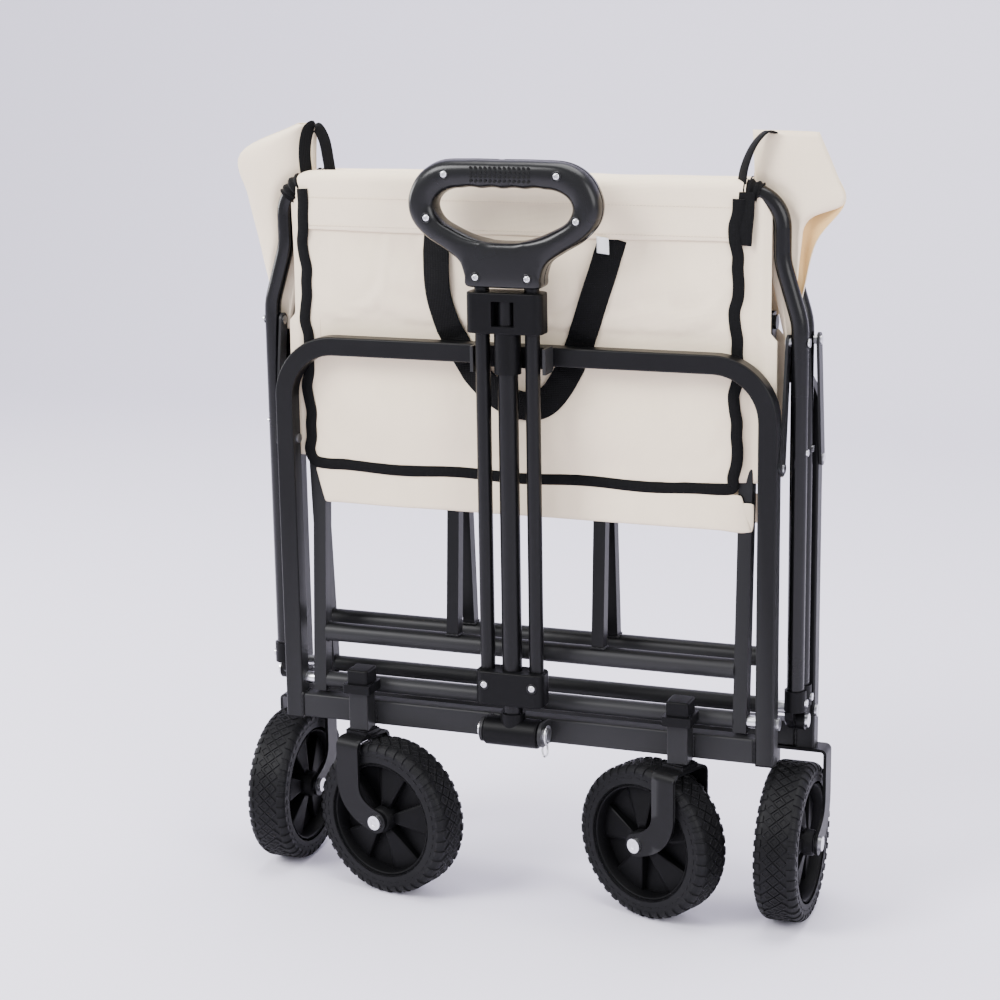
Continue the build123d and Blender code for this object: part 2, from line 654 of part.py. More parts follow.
def handle_clevis():
    """Two steel cheeks welded to the front crossbar that hold the handle pivot."""
    bar_face = FRONT_Y - HALF_TUBE
    with BuildPart() as clevis:
        for side in SIDES.values():
            low = min(side * CLEVIS_GAP, side * (CLEVIS_GAP + 3))
            with BuildSketch(Plane.YZ.offset(low)) as cheek:
                with Locations((HANDLE_Y, HANDLE_PIVOT_Z)):
                    Circle(12)
                with BuildLine():
                    Polyline((bar_face, HANDLE_PIVOT_Z + 9), (HANDLE_Y, HANDLE_PIVOT_Z + 12),
                             (HANDLE_Y, HANDLE_PIVOT_Z - 12), (bar_face, HANDLE_PIVOT_Z - 14),
                             close=True)
                make_face()
                with Locations((HANDLE_Y, HANDLE_PIVOT_Z)):
                    Circle(4, mode=Mode.SUBTRACT)
            extrude(cheek.sketch, amount=3)
    return clevis


def stem_clip():
    """Sprung steel clip on the front frame's top bar that holds the folded handle."""
    bar_face = FRONT_Y - HALF_TUBE
    gap = SIDE_TUBE_SPACING + SIDE_TUBE_RADIUS + 2.6
    with BuildPart() as clip:
        block((-gap - 3, gap + 3), (bar_face - 2.5, bar_face), (FRAME_TOP_Z - 11, FRAME_TOP_Z + 9))
        for side in SIDES.values():
            x_span = sorted((side * gap, side * (gap + 3)))
            block(x_span, (bar_face - 22, bar_face - 2), (FRAME_TOP_Z - 13, FRAME_TOP_Z + 11))
    return clip


def pivot_barrel():
    """Moulded barrel at the foot of the handle, with a short socket for the stem."""
    with BuildPart() as barrel:
        rod_x(BARREL_RADIUS, -BARREL_HALF, BARREL_HALF, HANDLE_Y, HANDLE_PIVOT_Z)
        fillet(barrel.edges().filter_by(GeomType.CIRCLE), 2)
        rod_z(STEM_RADIUS + 2.5, 0, HANDLE_Y, HANDLE_PIVOT_Z, HANDLE_PIVOT_Z + 20)
        rod_z(STEM_RADIUS, 0, HANDLE_Y, HANDLE_PIVOT_Z + 8, HANDLE_PIVOT_Z + 20, Mode.SUBTRACT)
        rod_x(4 + SNUG, -BARREL_HALF, BARREL_HALF, HANDLE_Y, HANDLE_PIVOT_Z, Mode.SUBTRACT)
    return barrel


def stem_tube():
    """Steel tube from the pivot barrel up to the guide collar."""
    with BuildPart() as tube:
        for radius, mode in ((STEM_RADIUS, Mode.ADD), (STEM_RADIUS - WALL, Mode.SUBTRACT)):
            rod_z(radius, 0, HANDLE_Y, HANDLE_PIVOT_Z + 8, COLLAR_SPAN_Z[1] - 3, mode)
    return tube


def guide_collar():
    """Moulded collar on the stem that guides the two sliding tubes, with a front window."""
    low, high = COLLAR_SPAN_Z
    with BuildPart() as collar:
        block((-37, 37), (HANDLE_Y - 13, HANDLE_Y + 13), (low, high), 8)
        fillet(collar.faces().filter_by(Axis.Z).edges(), 1.5)
        rod_z(12.5, 0, HANDLE_Y, low - 38, low + 2)
        block((-11, 11), (HANDLE_Y - 14, HANDLE_Y), (low + 7, high - 8), mode=Mode.SUBTRACT)
        rod_z(STEM_RADIUS, 0, HANDLE_Y, low - 38, high - 3, Mode.SUBTRACT)
        for side in SIDES.values():
            rod_z(SIDE_TUBE_RADIUS + 0.1, side * SIDE_TUBE_SPACING, HANDLE_Y, low, high, Mode.SUBTRACT)
    return collar


def slider_tubes():
    """The two thin tubes that carry the grip and slide in the collar."""
    with BuildPart() as tubes:
        for side in SIDES.values():
            for wall, mode in ((0, Mode.ADD), (WALL, Mode.SUBTRACT)):
                rod_z(SIDE_TUBE_RADIUS - wall, side * SIDE_TUBE_SPACING, HANDLE_Y,
                      YOKE_SPAN_Z[0] + 3, NECK_FOOT_Z + 20, mode)
    return tubes


def slider_yoke():
    """Moulded foot that joins the two sliding tubes and runs on the stem."""
    low, high = YOKE_SPAN_Z
    with BuildPart() as yoke:
        block((-34, 34), (HANDLE_Y - 14, HANDLE_Y + 14), (low, high), 9)
        fillet(yoke.faces().filter_by(Axis.Z).edges(), 2)
        rod_z(STEM_RADIUS + 0.1, 0, HANDLE_Y, low, high, Mode.SUBTRACT)
        for side in SIDES.values():
            rod_z(SIDE_TUBE_RADIUS, side * SIDE_TUBE_SPACING, HANDLE_Y, low + 3, high, Mode.SUBTRACT)
    return yoke


def grip_face():
    """Outline of the D-shaped grip with its scalloped hand opening."""
    corners = ((35, NECK_FOOT_Z, 5), (35, 628, 16), (93, 666, 24), (84, GRIP_TOP_Z, 30))
    with BuildSketch(plane_at_y(HANDLE_Y)) as face:
        with BuildLine():
            right = [(x, z) for x, z, _ in corners]
            radii = [radius for _, _, radius in corners]
            FilletPolyline(*right, *[(-x, z) for x, z in reversed(right)],
                           radius=radii + radii[::-1], close=True)
        make_face()
        with BuildLine():
            scallop = 20
            brow_z = GRIP_TOP_Z - 26
            for step in range(-2, 2):
                ThreePointArc((step * scallop, brow_z), ((step + 0.5) * scallop, brow_z + 3),
                              ((step + 1) * scallop, brow_z))
            for side in (-1, 1):
                FilletPolyline((side * 2 * scallop, brow_z), (side * 66, brow_z - 1),
                               (side * 58, 665), (side * 26, 642), (0, 642), radius=11)
        make_face(mode=Mode.SUBTRACT)
    return face


GRIP_SCREWS = ((54, 706), (72, 666), (25, 613))


def grip_shell(front):
    """One half of the grip, split down its middle plane."""
    toward = 1 if front else -1
    with BuildPart() as shell:
        extrude(grip_face().sketch, amount=toward * GRIP_HALF_DEPTH)
        outer_face = shell.faces().sort_by(Axis.Y)[0 if front else -1]
        fillet(outer_face.outer_wire().edges(), GRIP_EDGE)
        outer_face = shell.faces().sort_by(Axis.Y)[0 if front else -1]
        fillet(outer_face.inner_wires().edges(), GRIP_INNER_EDGE)
        for side in SIDES.values():
            rod_z(SIDE_TUBE_RADIUS, side * SIDE_TUBE_SPACING, HANDLE_Y,
                  NECK_FOOT_Z, NECK_FOOT_Z + 20, Mode.SUBTRACT)
    return shell


def slider_screws():
    """Screw heads on the grip's front shell and on the yoke."""
    with BuildPart() as screws:
        for side in SIDES.values():
            places = [(side * x, z) for x, z in GRIP_SCREWS]
            with BuildSketch(plane_at_y(HANDLE_Y - GRIP_HALF_DEPTH)) as heads:
                with Locations(*places):
                    Circle(3.4)
            extrude(heads.sketch, amount=1.2)
            with BuildSketch(plane_at_y(HANDLE_Y - 14)) as yoke_heads:
                with Locations((side * 24, YOKE_SPAN_Z[0] + 20)):
                    Circle(3.4)
            extrude(yoke_heads.sketch, amount=1.2)
    return screws


# --- Bag ------------------------------------------------------------------

SLEEVE_RADIUS = 9.8
PANEL_SHEET = 1.5
BINDING_WIDTH = 11.0
FOLD_DROP = 40.0
WING_HALF_THICKNESS = 1.6


def bag_panel(end):
    """End panel of the bag: rim sleeve, face, and the loose floor end that hangs below it."""
    toward = ENDS[end]
    bar_y = depth(end, TALL_DEPTH)
    face = bar_y + toward * SLEEVE_RADIUS
    y_span = sorted((face, face - toward * PANEL_SHEET))
    inner = PANEL_HALF_WIDTH - BINDING_WIDTH
    with BuildPart() as panel:
        block((-inner, inner), y_span, (PANEL_FOOT_Z + 3, RIM_Z))
        rod_x(SLEEVE_RADIUS, -PANEL_HALF_WIDTH, PANEL_HALF_WIDTH, bar_y, RIM_Z)
        rod_x(TALL_TUBE_RADIUS + 0.3, -PANEL_HALF_WIDTH, PANEL_HALF_WIDTH, bar_y, RIM_Z,
              Mode.SUBTRACT)
        block((-inner, inner), sorted((face + toward * 1.4, face + toward * 0.2)),
              (PANEL_FOOT_Z - FOLD_DROP, PANEL_FOOT_Z - 2))
    return panel


def bag_binding(end):
    """Ribbed binding down both edges and along the foot of an end panel."""
    toward = ENDS[end]
    face = depth(end, TALL_DEPTH + SLEEVE_RADIUS)
    y_span = sorted((face + toward * 0.2, face - toward * PANEL_SHEET))
    inner = PANEL_HALF_WIDTH - BINDING_WIDTH
    with BuildPart() as binding:
        block((-inner, inner), y_span, (PANEL_FOOT_Z - 6, PANEL_FOOT_Z + 3))
        for side in SIDES.values():
            x_span = sorted((side * inner, side * PANEL_HALF_WIDTH))
            block(x_span, y_span, (PANEL_FOOT_Z - 6, RIM_Z - 12))
    return binding


def webbing_loop():
    """Carrying loop of webbing that hangs in front of the front panel."""
    face = depth("front", TALL_DEPTH + SLEEVE_RADIUS)
    with BuildPart() as loop:
        with BuildSketch(plane_at_y(face - 0.3)) as band:
            with BuildLine() as route:
                FilletPolyline((-84, 643), (-80, 575), (-28, 492), (22, 480), (62, 560), (90, 643),
                               radius=18)
            trace(route.wire(), 27)
        extrude(band.sketch, amount=1.2)
    return loop


def side_wing(side, end):
    """Half of a folded side panel, which stands out between the tall hoops' legs."""
    toward = ENDS[end]
    turn = SIDES[side]
    inner = PANEL_HALF_WIDTH + 2
    points = ((inner, 744), (282, 740), (300, 700), (286, 646), (264, 596), (254, 540),
              (244, 540), (242, 592), (inner, 600))
    y_from = MIDDLE_Y + toward * 0.2
    with BuildPart() as wing:
        with BuildSketch(plane_at_y(y_from)) as outline:
            with BuildLine():
                Polyline(*[(turn * x, z) for x, z in points], close=True)
            make_face()
        extrude(outline.sketch, amount=-toward * (WING_HALF_THICKNESS - 0.2))
        panel_back = depth(end, TALL_DEPTH + SLEEVE_RADIUS - PANEL_SHEET)
        block(sorted((turn * PANEL_HALF_WIDTH, turn * inner)), sorted((y_from, panel_back)),
              (600, RIM_Z - 14))
    return wing


def main():
    """Make every piece and write it."""
    os.makedirs("parts", exist_ok=True)
    for end in ENDS:
        write(frame_hoop(end), f"{end}_frame_hoop")
        write(crossbar(end), f"{end}_crossbar")
        write(frame_bolts(end), f"{end}_frame_bolts")
        write(swing_links(end), f"{end}_swing_links")
        write(link_rivets(end), f"{end}_link_rivets")
        write(tall_hoop(end), f"{end}_tall_hoop")
        write(foot_caps(end), f"{end}_foot_caps")
        write(hoop_screws(end), f"{end}_hoop_screws")
        write(floor_arms(end), f"{end}_floor_arms")
        write(floor_cross_tubes(end), f"{end}_floor_tubes")
        write(floor_hinge_bolts(end), f"{end}_floor_hinge_bolts")
        write(floor_mat(end), f"{end}_floor_mat")
        write(bag_panel(end), f"{end}_bag_panel")
        write(bag_binding(end), f"{end}_bag_binding")
    for side in SIDES:
        write(tyre(caster_wheel_plane(side)), f"caster_tyre_{side}")
        write(hub(caster_wheel_plane(side)), f"caster_hub_{side}")
        write(caster_fork(side), f"caster_fork_{side}")
        write(caster_pins(side), f"caster_pins_{side}")
        write(tyre(rear_wheel_plane(side)), f"rear_tyre_{side}")
        write(hub(rear_wheel_plane(side)), f"rear_hub_{side}")
        for end in ENDS:
            write(side_wing(side, end), f"side_panel_{side}_{end}")
    write(caster_posts(), "caster_posts")
    write(post_caps(), "post_caps")
    write(rear_forks(), "rear_forks")
    write(rear_axles(), "rear_axles")
    write(handle_clevis(), "handle_clevis")
    write(stem_clip(), "stem_clip")
    write(pivot_barrel(), "pivot_barrel")
    write(stem_tube(), "stem_tube")
    write(guide_collar(), "guide_collar")
    write(slider_tubes(), "slider_tubes")
    write(slider_yoke(), "slider_yoke")
    write(grip_shell(True), "grip_front_shell")
    write(grip_shell(False), "grip_back_shell")
    write(slider_screws(), "slider_screws")
    write(webbing_loop(), "webbing_loop")


main()
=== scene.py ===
"""Visual model of a folded four-wheel beach wagon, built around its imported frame."""

import json
import logging
from dataclasses import dataclass, field
from enum import Enum
from math import ceil, copysign, cos, pi, radians, sin
from typing import Callable, Iterable, Sequence

import bmesh
import bpy
from mathutils import Matrix, Vector, noise

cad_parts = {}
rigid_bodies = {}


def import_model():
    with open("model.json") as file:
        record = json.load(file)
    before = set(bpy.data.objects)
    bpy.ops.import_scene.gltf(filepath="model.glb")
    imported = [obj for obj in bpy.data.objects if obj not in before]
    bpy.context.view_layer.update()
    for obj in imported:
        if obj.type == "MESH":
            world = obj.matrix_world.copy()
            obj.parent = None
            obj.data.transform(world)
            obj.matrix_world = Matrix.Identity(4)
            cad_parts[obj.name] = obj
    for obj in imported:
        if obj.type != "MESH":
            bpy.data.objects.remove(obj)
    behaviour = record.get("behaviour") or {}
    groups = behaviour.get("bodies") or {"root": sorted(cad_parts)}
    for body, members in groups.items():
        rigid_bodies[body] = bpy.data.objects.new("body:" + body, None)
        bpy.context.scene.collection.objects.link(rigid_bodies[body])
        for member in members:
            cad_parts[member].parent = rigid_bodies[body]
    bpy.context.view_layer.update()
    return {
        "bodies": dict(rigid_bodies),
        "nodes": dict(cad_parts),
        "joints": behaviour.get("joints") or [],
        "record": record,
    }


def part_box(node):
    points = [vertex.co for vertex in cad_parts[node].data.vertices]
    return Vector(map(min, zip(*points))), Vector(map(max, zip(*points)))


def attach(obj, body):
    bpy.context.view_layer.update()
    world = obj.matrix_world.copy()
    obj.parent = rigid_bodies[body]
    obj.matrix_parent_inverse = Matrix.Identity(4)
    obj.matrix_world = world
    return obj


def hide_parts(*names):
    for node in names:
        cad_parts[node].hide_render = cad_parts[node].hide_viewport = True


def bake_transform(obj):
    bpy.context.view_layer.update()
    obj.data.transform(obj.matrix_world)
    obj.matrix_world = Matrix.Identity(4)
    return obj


LOG = logging.getLogger("wagon")

Point = Sequence[float]
Colour = tuple[float, float, float]

MIDDLE_Y = 0.0115  # plane that the wagon folds about
WHEEL_RADIUS = 0.076
CASTER_X = 0.162
FLOOR_TILT = radians(3.986)
FLOOR_PIVOT_DEPTH = 0.026
FLOOR_PIVOT_Z = 0.198


class Side(Enum):
    """Side of the wagon, as seen from the handle side; the value is the sign of X."""

    LEFT = -1
    RIGHT = 1

    @property
    def word(self) -> str:
        """Name used in piece and node names."""
        return self.name.lower()


class End(Enum):
    """End of the wagon; the value is the sign of Y."""

    FRONT = -1
    REAR = 1

    @property
    def word(self) -> str:
        """Name used in piece and node names."""
        return self.name.lower()


def floor_line(end: End) -> tuple[Vector, Vector, Vector]:
    """Where a floor half stands in the folded wagon.

    Args:
        end: Which end.

    Returns:
        Its pivot, the direction along it and the direction out of its padded face.
    """
    pivot = Vector((0, MIDDLE_Y + end.value * FLOOR_PIVOT_DEPTH, FLOOR_PIVOT_Z))
    along = Vector((0, -end.value * sin(FLOOR_TILT), cos(FLOOR_TILT)))
    face = Vector((0, -end.value * cos(FLOOR_TILT), -sin(FLOOR_TILT)))
    return pivot, along, face


# --- Mesh work ---------------------------------------------------------------


@dataclass
class Shape:
    """Growing list of corners and faces that becomes one mesh.

    Attributes:
        corners: Places of the vertices.
        faces: Vertex numbers of each face.
        flat: Numbers of the faces that are shaded flat.
    """

    corners: list[Vector] = field(default_factory=list)
    faces: list[tuple[int, ...]] = field(default_factory=list)
    flat: set[int] = field(default_factory=set)

    def grid(self, rows: list[list[Vector]], closed_rows: bool = False, closed_ring: bool = False,
             flat: bool = False) -> None:
        """Join equal rows of points with quads.

        Args:
            rows: Rows of points, each as long as the first.
            closed_rows: Join each row's last point to its first.
            closed_ring: Join the last row to the first row.
            flat: Shade the new faces flat.
        """
        start = len(self.corners)
        width = len(rows[0])
        for row in rows:
            self.corners.extend(Vector(p) for p in row)
        for i in range(len(rows) if closed_ring else len(rows) - 1):
            after = (i + 1) % len(rows)
            for j in range(width if closed_rows else width - 1):
                beside = (j + 1) % width
                if flat:
                    self.flat.add(len(self.faces))
                self.faces.append((start + i * width + j, start + i * width + beside,
                                   start + after * width + beside, start + after * width + j))

    def cap(self, ring: Iterable[Vector], flat: bool = True) -> None:
        """Add one face over a closed ring of points.

        Args:
            ring: Points in order.
            flat: Shade the new face flat.
        """
        start = len(self.corners)
        self.corners.extend(Vector(p) for p in ring)
        if flat:
            self.flat.add(len(self.faces))
        self.faces.append(tuple(range(start, len(self.corners))))

    def block(self, middle: Vector, half: float, low: float, high: float,
              turn: Matrix | None = None) -> None:
        """Add an upright block with a square base.

        Args:
            middle: Place of its middle line.
            half: Half the side of the square.
            low: Height of its foot.
            high: Height of its top.
            turn: Rotation about the middle line.
        """
        corners = [Vector((x * half, y * half, 0)) for x, y in ((1, 1), (-1, 1), (-1, -1), (1, -1))]
        ring = [(turn @ c if turn else c) + middle for c in corners]
        rows = [[p + Vector((0, 0, z)) for p in ring] for z in (low, high)]
        self.grid(rows, closed_rows=True)
        self.cap(reversed(rows[0]))
        self.cap(rows[1])

    def tube(self, path: list[Vector], radius: Callable[[float], float] | float, sides: int = 12,
             closed: bool = False) -> None:
        """Add a round tube along a path.

        Args:
            path: Points along the middle line.
            radius: Radius, or a function of the share of the way along.
            sides: Points round the section.
            closed: Join the end to the start instead of capping both.
        """
        rows = []
        count = len(path)
        side = None
        for i, p in enumerate(path):
            before = path[(i - 1) % count] if closed or i else path[0]
            after = path[(i + 1) % count] if closed or i < count - 1 else path[-1]
            along = (Vector(after) - Vector(before)).normalized()
            if side is None:
                side = along.orthogonal().normalized()
            side = (side - along * side.dot(along)).normalized()
            other = along.cross(side)
            r = radius(i / max(count - 1, 1)) if callable(radius) else radius
            turns = [2 * pi * k / sides for k in range(sides)]
            rows.append([Vector(p) + side * (r * cos(a)) + other * (r * sin(a)) for a in turns])
        self.grid(rows, closed_rows=True, closed_ring=closed)
        if not closed:
            self.cap(reversed(rows[0]))
            self.cap(rows[-1])

    def make(self, name: str, finish: "Finish", body: str, place: Matrix | None = None,
             merge: float = 1e-6) -> bpy.types.Object:
        """Turn the shape into an object that rides on a body.

        Args:
            name: Name of the piece.
            finish: Its finish.
            body: Body that it moves with.
            place: Matrix applied to the corners.
            merge: Distance at which corners are joined.

        Returns:
            The new object.
        """
        mesh = bpy.data.meshes.new(name)
        corners = [place @ p for p in self.corners] if place else self.corners
        mesh.from_pydata([tuple(p) for p in corners], [], self.faces)
        for i, polygon in enumerate(mesh.polygons):
            polygon.use_smooth = i not in self.flat
        work = bmesh.new()
        work.from_mesh(mesh)
        bmesh.ops.remove_doubles(work, verts=work.verts, dist=merge)
        bmesh.ops.recalc_face_normals(work, faces=work.faces)
        work.to_mesh(mesh)
        work.free()
        obj = bpy.data.objects.new(name, mesh)
        bpy.context.scene.collection.objects.link(obj)
        if body:
            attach(obj, body)
        finish.dress(obj)
        LOG.info("piece %s: %d faces on %s", name, len(mesh.polygons), body)
        return obj


def lathe(profile: Sequence[tuple[float, float]], steps: int = 96) -> list[list[Vector]]:
    """Turn a profile about the local Z axis.

    Args:
        profile: Pairs of radius and height.
        steps: Number of steps round.

    Returns:
        Rows of points, one row for each step.
    """
    return [[Vector((r * cos(a), r * sin(a), h)) for r, h in profile]
            for a in (2 * pi * k / steps for k in range(steps))]


def bevel(obj: bpy.types.Object, width: float, segments: int = 2, angle: float = 40.0) -> bpy.types.Object:
    """Round the sharp edges of a piece.

    Args:
        obj: The piece.
        width: Width of the rounding.
        segments: Steps in the rounding.
        angle: Smallest angle, in degrees, that counts as an edge.

    Returns:
        The same piece.
    """
    mod = obj.modifiers.new("edges", "BEVEL")
    mod.width = width
    mod.segments = segments
    mod.limit_method = "ANGLE"
    mod.angle_limit = radians(angle)
    mod.harden_normals = True
    return obj


def thicken(obj: bpy.types.Object, thickness: float, offset: float = 0.0) -> bpy.types.Object:
    """Give a sheet its thickness.

    Args:
        obj: The sheet.
        thickness: Its thickness.
        offset: From -1, all behind, to 1, all in front.

    Returns:
        The same piece.
    """
    mod = obj.modifiers.new("thickness", "SOLIDIFY")
    mod.thickness = thickness
    mod.offset = offset
    mod.use_even_offset = True
    return obj


def soften(obj: bpy.types.Object, levels: int = 1) -> bpy.types.Object:
    """Smooth a piece with a subdivision surface.

    Args:
        obj: The piece.
        levels: Number of subdivisions.

    Returns:
        The same piece.
    """
    mod = obj.modifiers.new("smooth", "SUBSURF")
    mod.levels = levels
    mod.render_levels = levels
    return obj


def upright(origin: Vector, axle: Vector) -> Matrix:
    """Matrix that places a wheel's local Z on its axle and keeps its local Y up.

    Args:
        origin: Middle of the wheel.
        axle: Direction of the axle.

    Returns:
        The placing matrix.
    """
    z = axle.normalized()
    y = Vector((0, 0, 1))
    x = y.cross(z).normalized()
    return Matrix.Translation(origin) @ Matrix((x, y, z)).transposed().to_4x4()


def smooth_path(points: Sequence[Point], steps: int = 8) -> list[Vector]:
    """Smooth curve through a few points.

    Args:
        points: Points that the curve passes through.
        steps: Pieces between two points.

    Returns:
        Points along the curve.
    """
    p = [Vector(q) for q in points]
    ends = [p[0] * 2 - p[1]] + p + [p[-1] * 2 - p[-2]]
    out = []
    for i in range(len(p) - 1):
        a, b, c, d = ends[i:i + 4]
        for k in range(steps):
            t = k / steps
            out.append(0.5 * (2 * b + (c - a) * t + (2 * a - 5 * b + 4 * c - d) * t * t
                              + (3 * b - a - 3 * c + d) * t ** 3))
    out.append(p[-1])
    return out


# --- Finishes ----------------------------------------------------------------


@dataclass(frozen=True)
class Finish:
    """Surface finish made of nodes.

    Attributes:
        name: Name of the material.
        slot: The record's material slot; not used.
        colour: Base colour.
        rough: Roughness.
        metallic: 1 for bare metal.
        grain: Size of the surface grain in metres, 0 for none.
        bump: Depth of the grain in metres.
        vary: Share by which the colour varies.
        wear: Lighter colour on worn edges, or None.
        coat: Weight of a clear coat.
        sheen: Weight of cloth sheen.
        gloss: Strength of the reflection.
    """

    name: str
    slot: str
    colour: Colour
    rough: float = 0.5
    metallic: float = 0.0
    grain: float = 0.0
    bump: float = 0.0
    vary: float = 0.1
    wear: Colour | None = None
    coat: float = 0.0
    sheen: float = 0.0
    gloss: float = 0.3

    def pattern(self, nodes: bpy.types.Nodes, links: bpy.types.NodeLinks,
                where: bpy.types.NodeSocket) -> bpy.types.NodeSocket:
        """Height pattern of the finish.

        Args:
            nodes: The material's nodes.
            links: The material's links.
            where: Socket with the place on the object.

        Returns:
            Socket with the height from 0 to 1.
        """
        tex = nodes.new("ShaderNodeTexNoise")
        tex.inputs["Scale"].default_value = 1 / max(self.grain, 1e-4)
        tex.inputs["Detail"].default_value = 3
        links.new(where, tex.inputs["Vector"])
        return tex.outputs["Fac"]

    def material(self) -> bpy.types.Material:
        """Build the material once, and return it."""
        if self.name in bpy.data.materials:
            return bpy.data.materials[self.name]
        mat = bpy.data.materials.new(self.name)
        mat.use_nodes = True
        nodes, links = mat.node_tree.nodes, mat.node_tree.links
        shader = nodes["Principled BSDF"]
        shader.inputs["Metallic"].default_value = self.metallic
        shader.inputs["Coat Weight"].default_value = self.coat
        shader.inputs["Coat Roughness"].default_value = 0.2
        shader.inputs["Sheen Weight"].default_value = self.sheen
        shader.inputs["Sheen Roughness"].default_value = 0.5
        shader.inputs["Specular IOR Level"].default_value = self.gloss
        where = nodes.new("ShaderNodeTexCoord").outputs["Object"]
        cloudy = nodes.new("ShaderNodeTexNoise")
        cloudy.inputs["Scale"].default_value = 14
        cloudy.inputs["Detail"].default_value = 5
        links.new(where, cloudy.inputs["Vector"])
        ramp = nodes.new("ShaderNodeValToRGB")
        low = [c * (1 - self.vary) for c in self.colour]
        high = [min(1.0, c * (1 + self.vary)) for c in self.colour]
        ramp.color_ramp.elements[0].color = (*low, 1)
        ramp.color_ramp.elements[1].color = (*high, 1)
        ramp.color_ramp.elements[0].position = 0.35
        ramp.color_ramp.elements[1].position = 0.65
        links.new(cloudy.outputs["Fac"], ramp.inputs["Fac"])
        colour = ramp.outputs["Color"]
        height = self.pattern(nodes, links, where) if self.grain else None
        if self.wear:
            edges = nodes.new("ShaderNodeNewGeometry").outputs["Pointiness"]
            pick = nodes.new("ShaderNodeMapRange")
            pick.inputs["From Min"].default_value = 0.56
            pick.inputs["From Max"].default_value = 0.64
            links.new(edges, pick.inputs["Value"])
            mix = nodes.new("ShaderNodeMix")
            mix.data_type = "RGBA"
            mix.inputs["B"].default_value = (*self.wear, 1)
            links.new(pick.outputs["Result"], mix.inputs["Factor"])
            links.new(colour, mix.inputs["A"])
            colour = mix.outputs["Result"]
        links.new(colour, shader.inputs["Base Color"])
        rough = nodes.new("ShaderNodeMapRange")
        rough.inputs["To Min"].default_value = max(0.02, self.rough - 0.07)
        rough.inputs["To Max"].default_value = min(1.0, self.rough + 0.07)
        links.new(cloudy.outputs["Fac"], rough.inputs["Value"])
        links.new(rough.outputs["Result"], shader.inputs["Roughness"])
        if height is not None and self.bump:
            bump = nodes.new("ShaderNodeBump")
            bump.inputs["Distance"].default_value = self.bump
            bump.inputs["Strength"].default_value = 0.8
            links.new(height, bump.inputs["Height"])
            links.new(bump.outputs["Normal"], shader.inputs["Normal"])
        return mat

    def dress(self, piece: bpy.types.Object) -> None:
        """Give a new piece the finish.

        Args:
            piece: The piece.
        """
        piece.data.materials.clear()
        piece.data.materials.append(self.material())

    def repaint(self, nodes: dict[str, bpy.types.Object], *names: str) -> None:
        """Give the finish to nodes of the frame.

        Args:
            nodes: The frame's objects by name.
            names: Names of the nodes.
        """
        for name in names:
            nodes[name].data.materials.clear()
            nodes[name].data.materials.append(self.material())


@dataclass(frozen=True)
class Woven(Finish):
    """Plain-woven cloth, whose threads run along the wagon's width and height."""

    def pattern(self, nodes: bpy.types.Nodes, links: bpy.types.NodeLinks,
                where: bpy.types.NodeSocket) -> bpy.types.NodeSocket:
        """Two crossed waves, one for the warp and one for the weft.

        Args:
            nodes: The material's nodes.
            links: The material's links.
            where: Socket with the place on the object.

        Returns:
            Socket with the height from 0 to 1.
        """
        waves = []
        for way in ("X", "Z"):
            wave = nodes.new("ShaderNodeTexWave")
            wave.bands_direction = way
            wave.inputs["Scale"].default_value = 0.314 / self.grain
            wave.inputs["Distortion"].default_value = 0.6
            wave.inputs["Detail Scale"].default_value = 3
            links.new(where, wave.inputs["Vector"])
            waves.append(wave.outputs["Fac"])
        both = nodes.new("ShaderNodeMath")
        both.operation = "ADD"
        links.new(waves[0], both.inputs[0])
        links.new(waves[1], both.inputs[1])
        half = nodes.new("ShaderNodeMath")
        half.operation = "MULTIPLY"
        half.inputs[1].default_value = 0.5
        links.new(both.outputs[0], half.inputs[0])
        return half.outputs[0]


SATIN_PAINT = Finish("satin_black_paint", "frame_paint", (0.0030, 0.0030, 0.0034), 0.40, grain=0.0012,
                     bump=0.00006, wear=(0.020, 0.020, 0.021), gloss=0.16)
GLOSS_PAINT = Finish("glossy_black_paint", "hoop_paint", (0.0024, 0.0024, 0.0028), 0.26, grain=0.002,
                     bump=0.00004, coat=0.12, gloss=0.2)
HANDLE_PAINT = Finish("handle_black_paint", "handle_paint", (0.0026, 0.0026, 0.0030), 0.33, grain=0.0015,
                      bump=0.00004, coat=0.05, gloss=0.16)
ZINC = Finish("zinc_plate", "zinc", (0.68, 0.68, 0.70), 0.28, 1.0, grain=0.0008, bump=0.00003,
              gloss=0.5)
BLACK_STEEL = Finish("black_bolts", "black_steel", (0.0035, 0.0035, 0.0035), 0.4, 0.3, grain=0.001,
                     bump=0.00004)
TYRE = Finish("moulded_rubber", "tyre_rubber", (0.0075, 0.0075, 0.0082), 0.5, grain=0.0007,
              bump=0.00008, vary=0.2, gloss=0.10)
HUB = Finish("wheel_plastic", "hub_plastic", (0.0032, 0.0032, 0.0036), 0.5, grain=0.0009,
             bump=0.00005, gloss=0.09)
CAP = Finish("moulded_caps", "cap_plastic", (0.0030, 0.0030, 0.0034), 0.42, grain=0.0006,
             bump=0.00006, gloss=0.10)
GRIP = Finish("smooth_grip", "grip_plastic", (0.0028, 0.0029, 0.0033), 0.27, grain=0.0006,
              bump=0.00002, gloss=0.3)
DIMPLE = Finish("grip_dimples", "grip_plastic", (0.003, 0.003, 0.003), 0.8, grain=0.0006, bump=0.00004)
CANVAS = Woven("cream_canvas", "canvas", (0.93, 0.78, 0.575), 0.82, grain=0.0011, bump=0.00028, vary=0.035,
               sheen=0.15)
# Golden colour for the inside of the right wing's fold: painted shade on the cream canvas, not a separate
# lining.
FOLD_SHADE_CANVAS = Woven("golden_lining", "canvas", (0.74, 0.47, 0.19), 0.8, grain=0.0011, bump=0.00025, vary=0.06)
BINDING = Woven("ribbed_binding", "binding", (0.0028, 0.0028, 0.0031), 0.7, grain=0.0013,
                bump=0.0004, sheen=0.02, gloss=0.1)
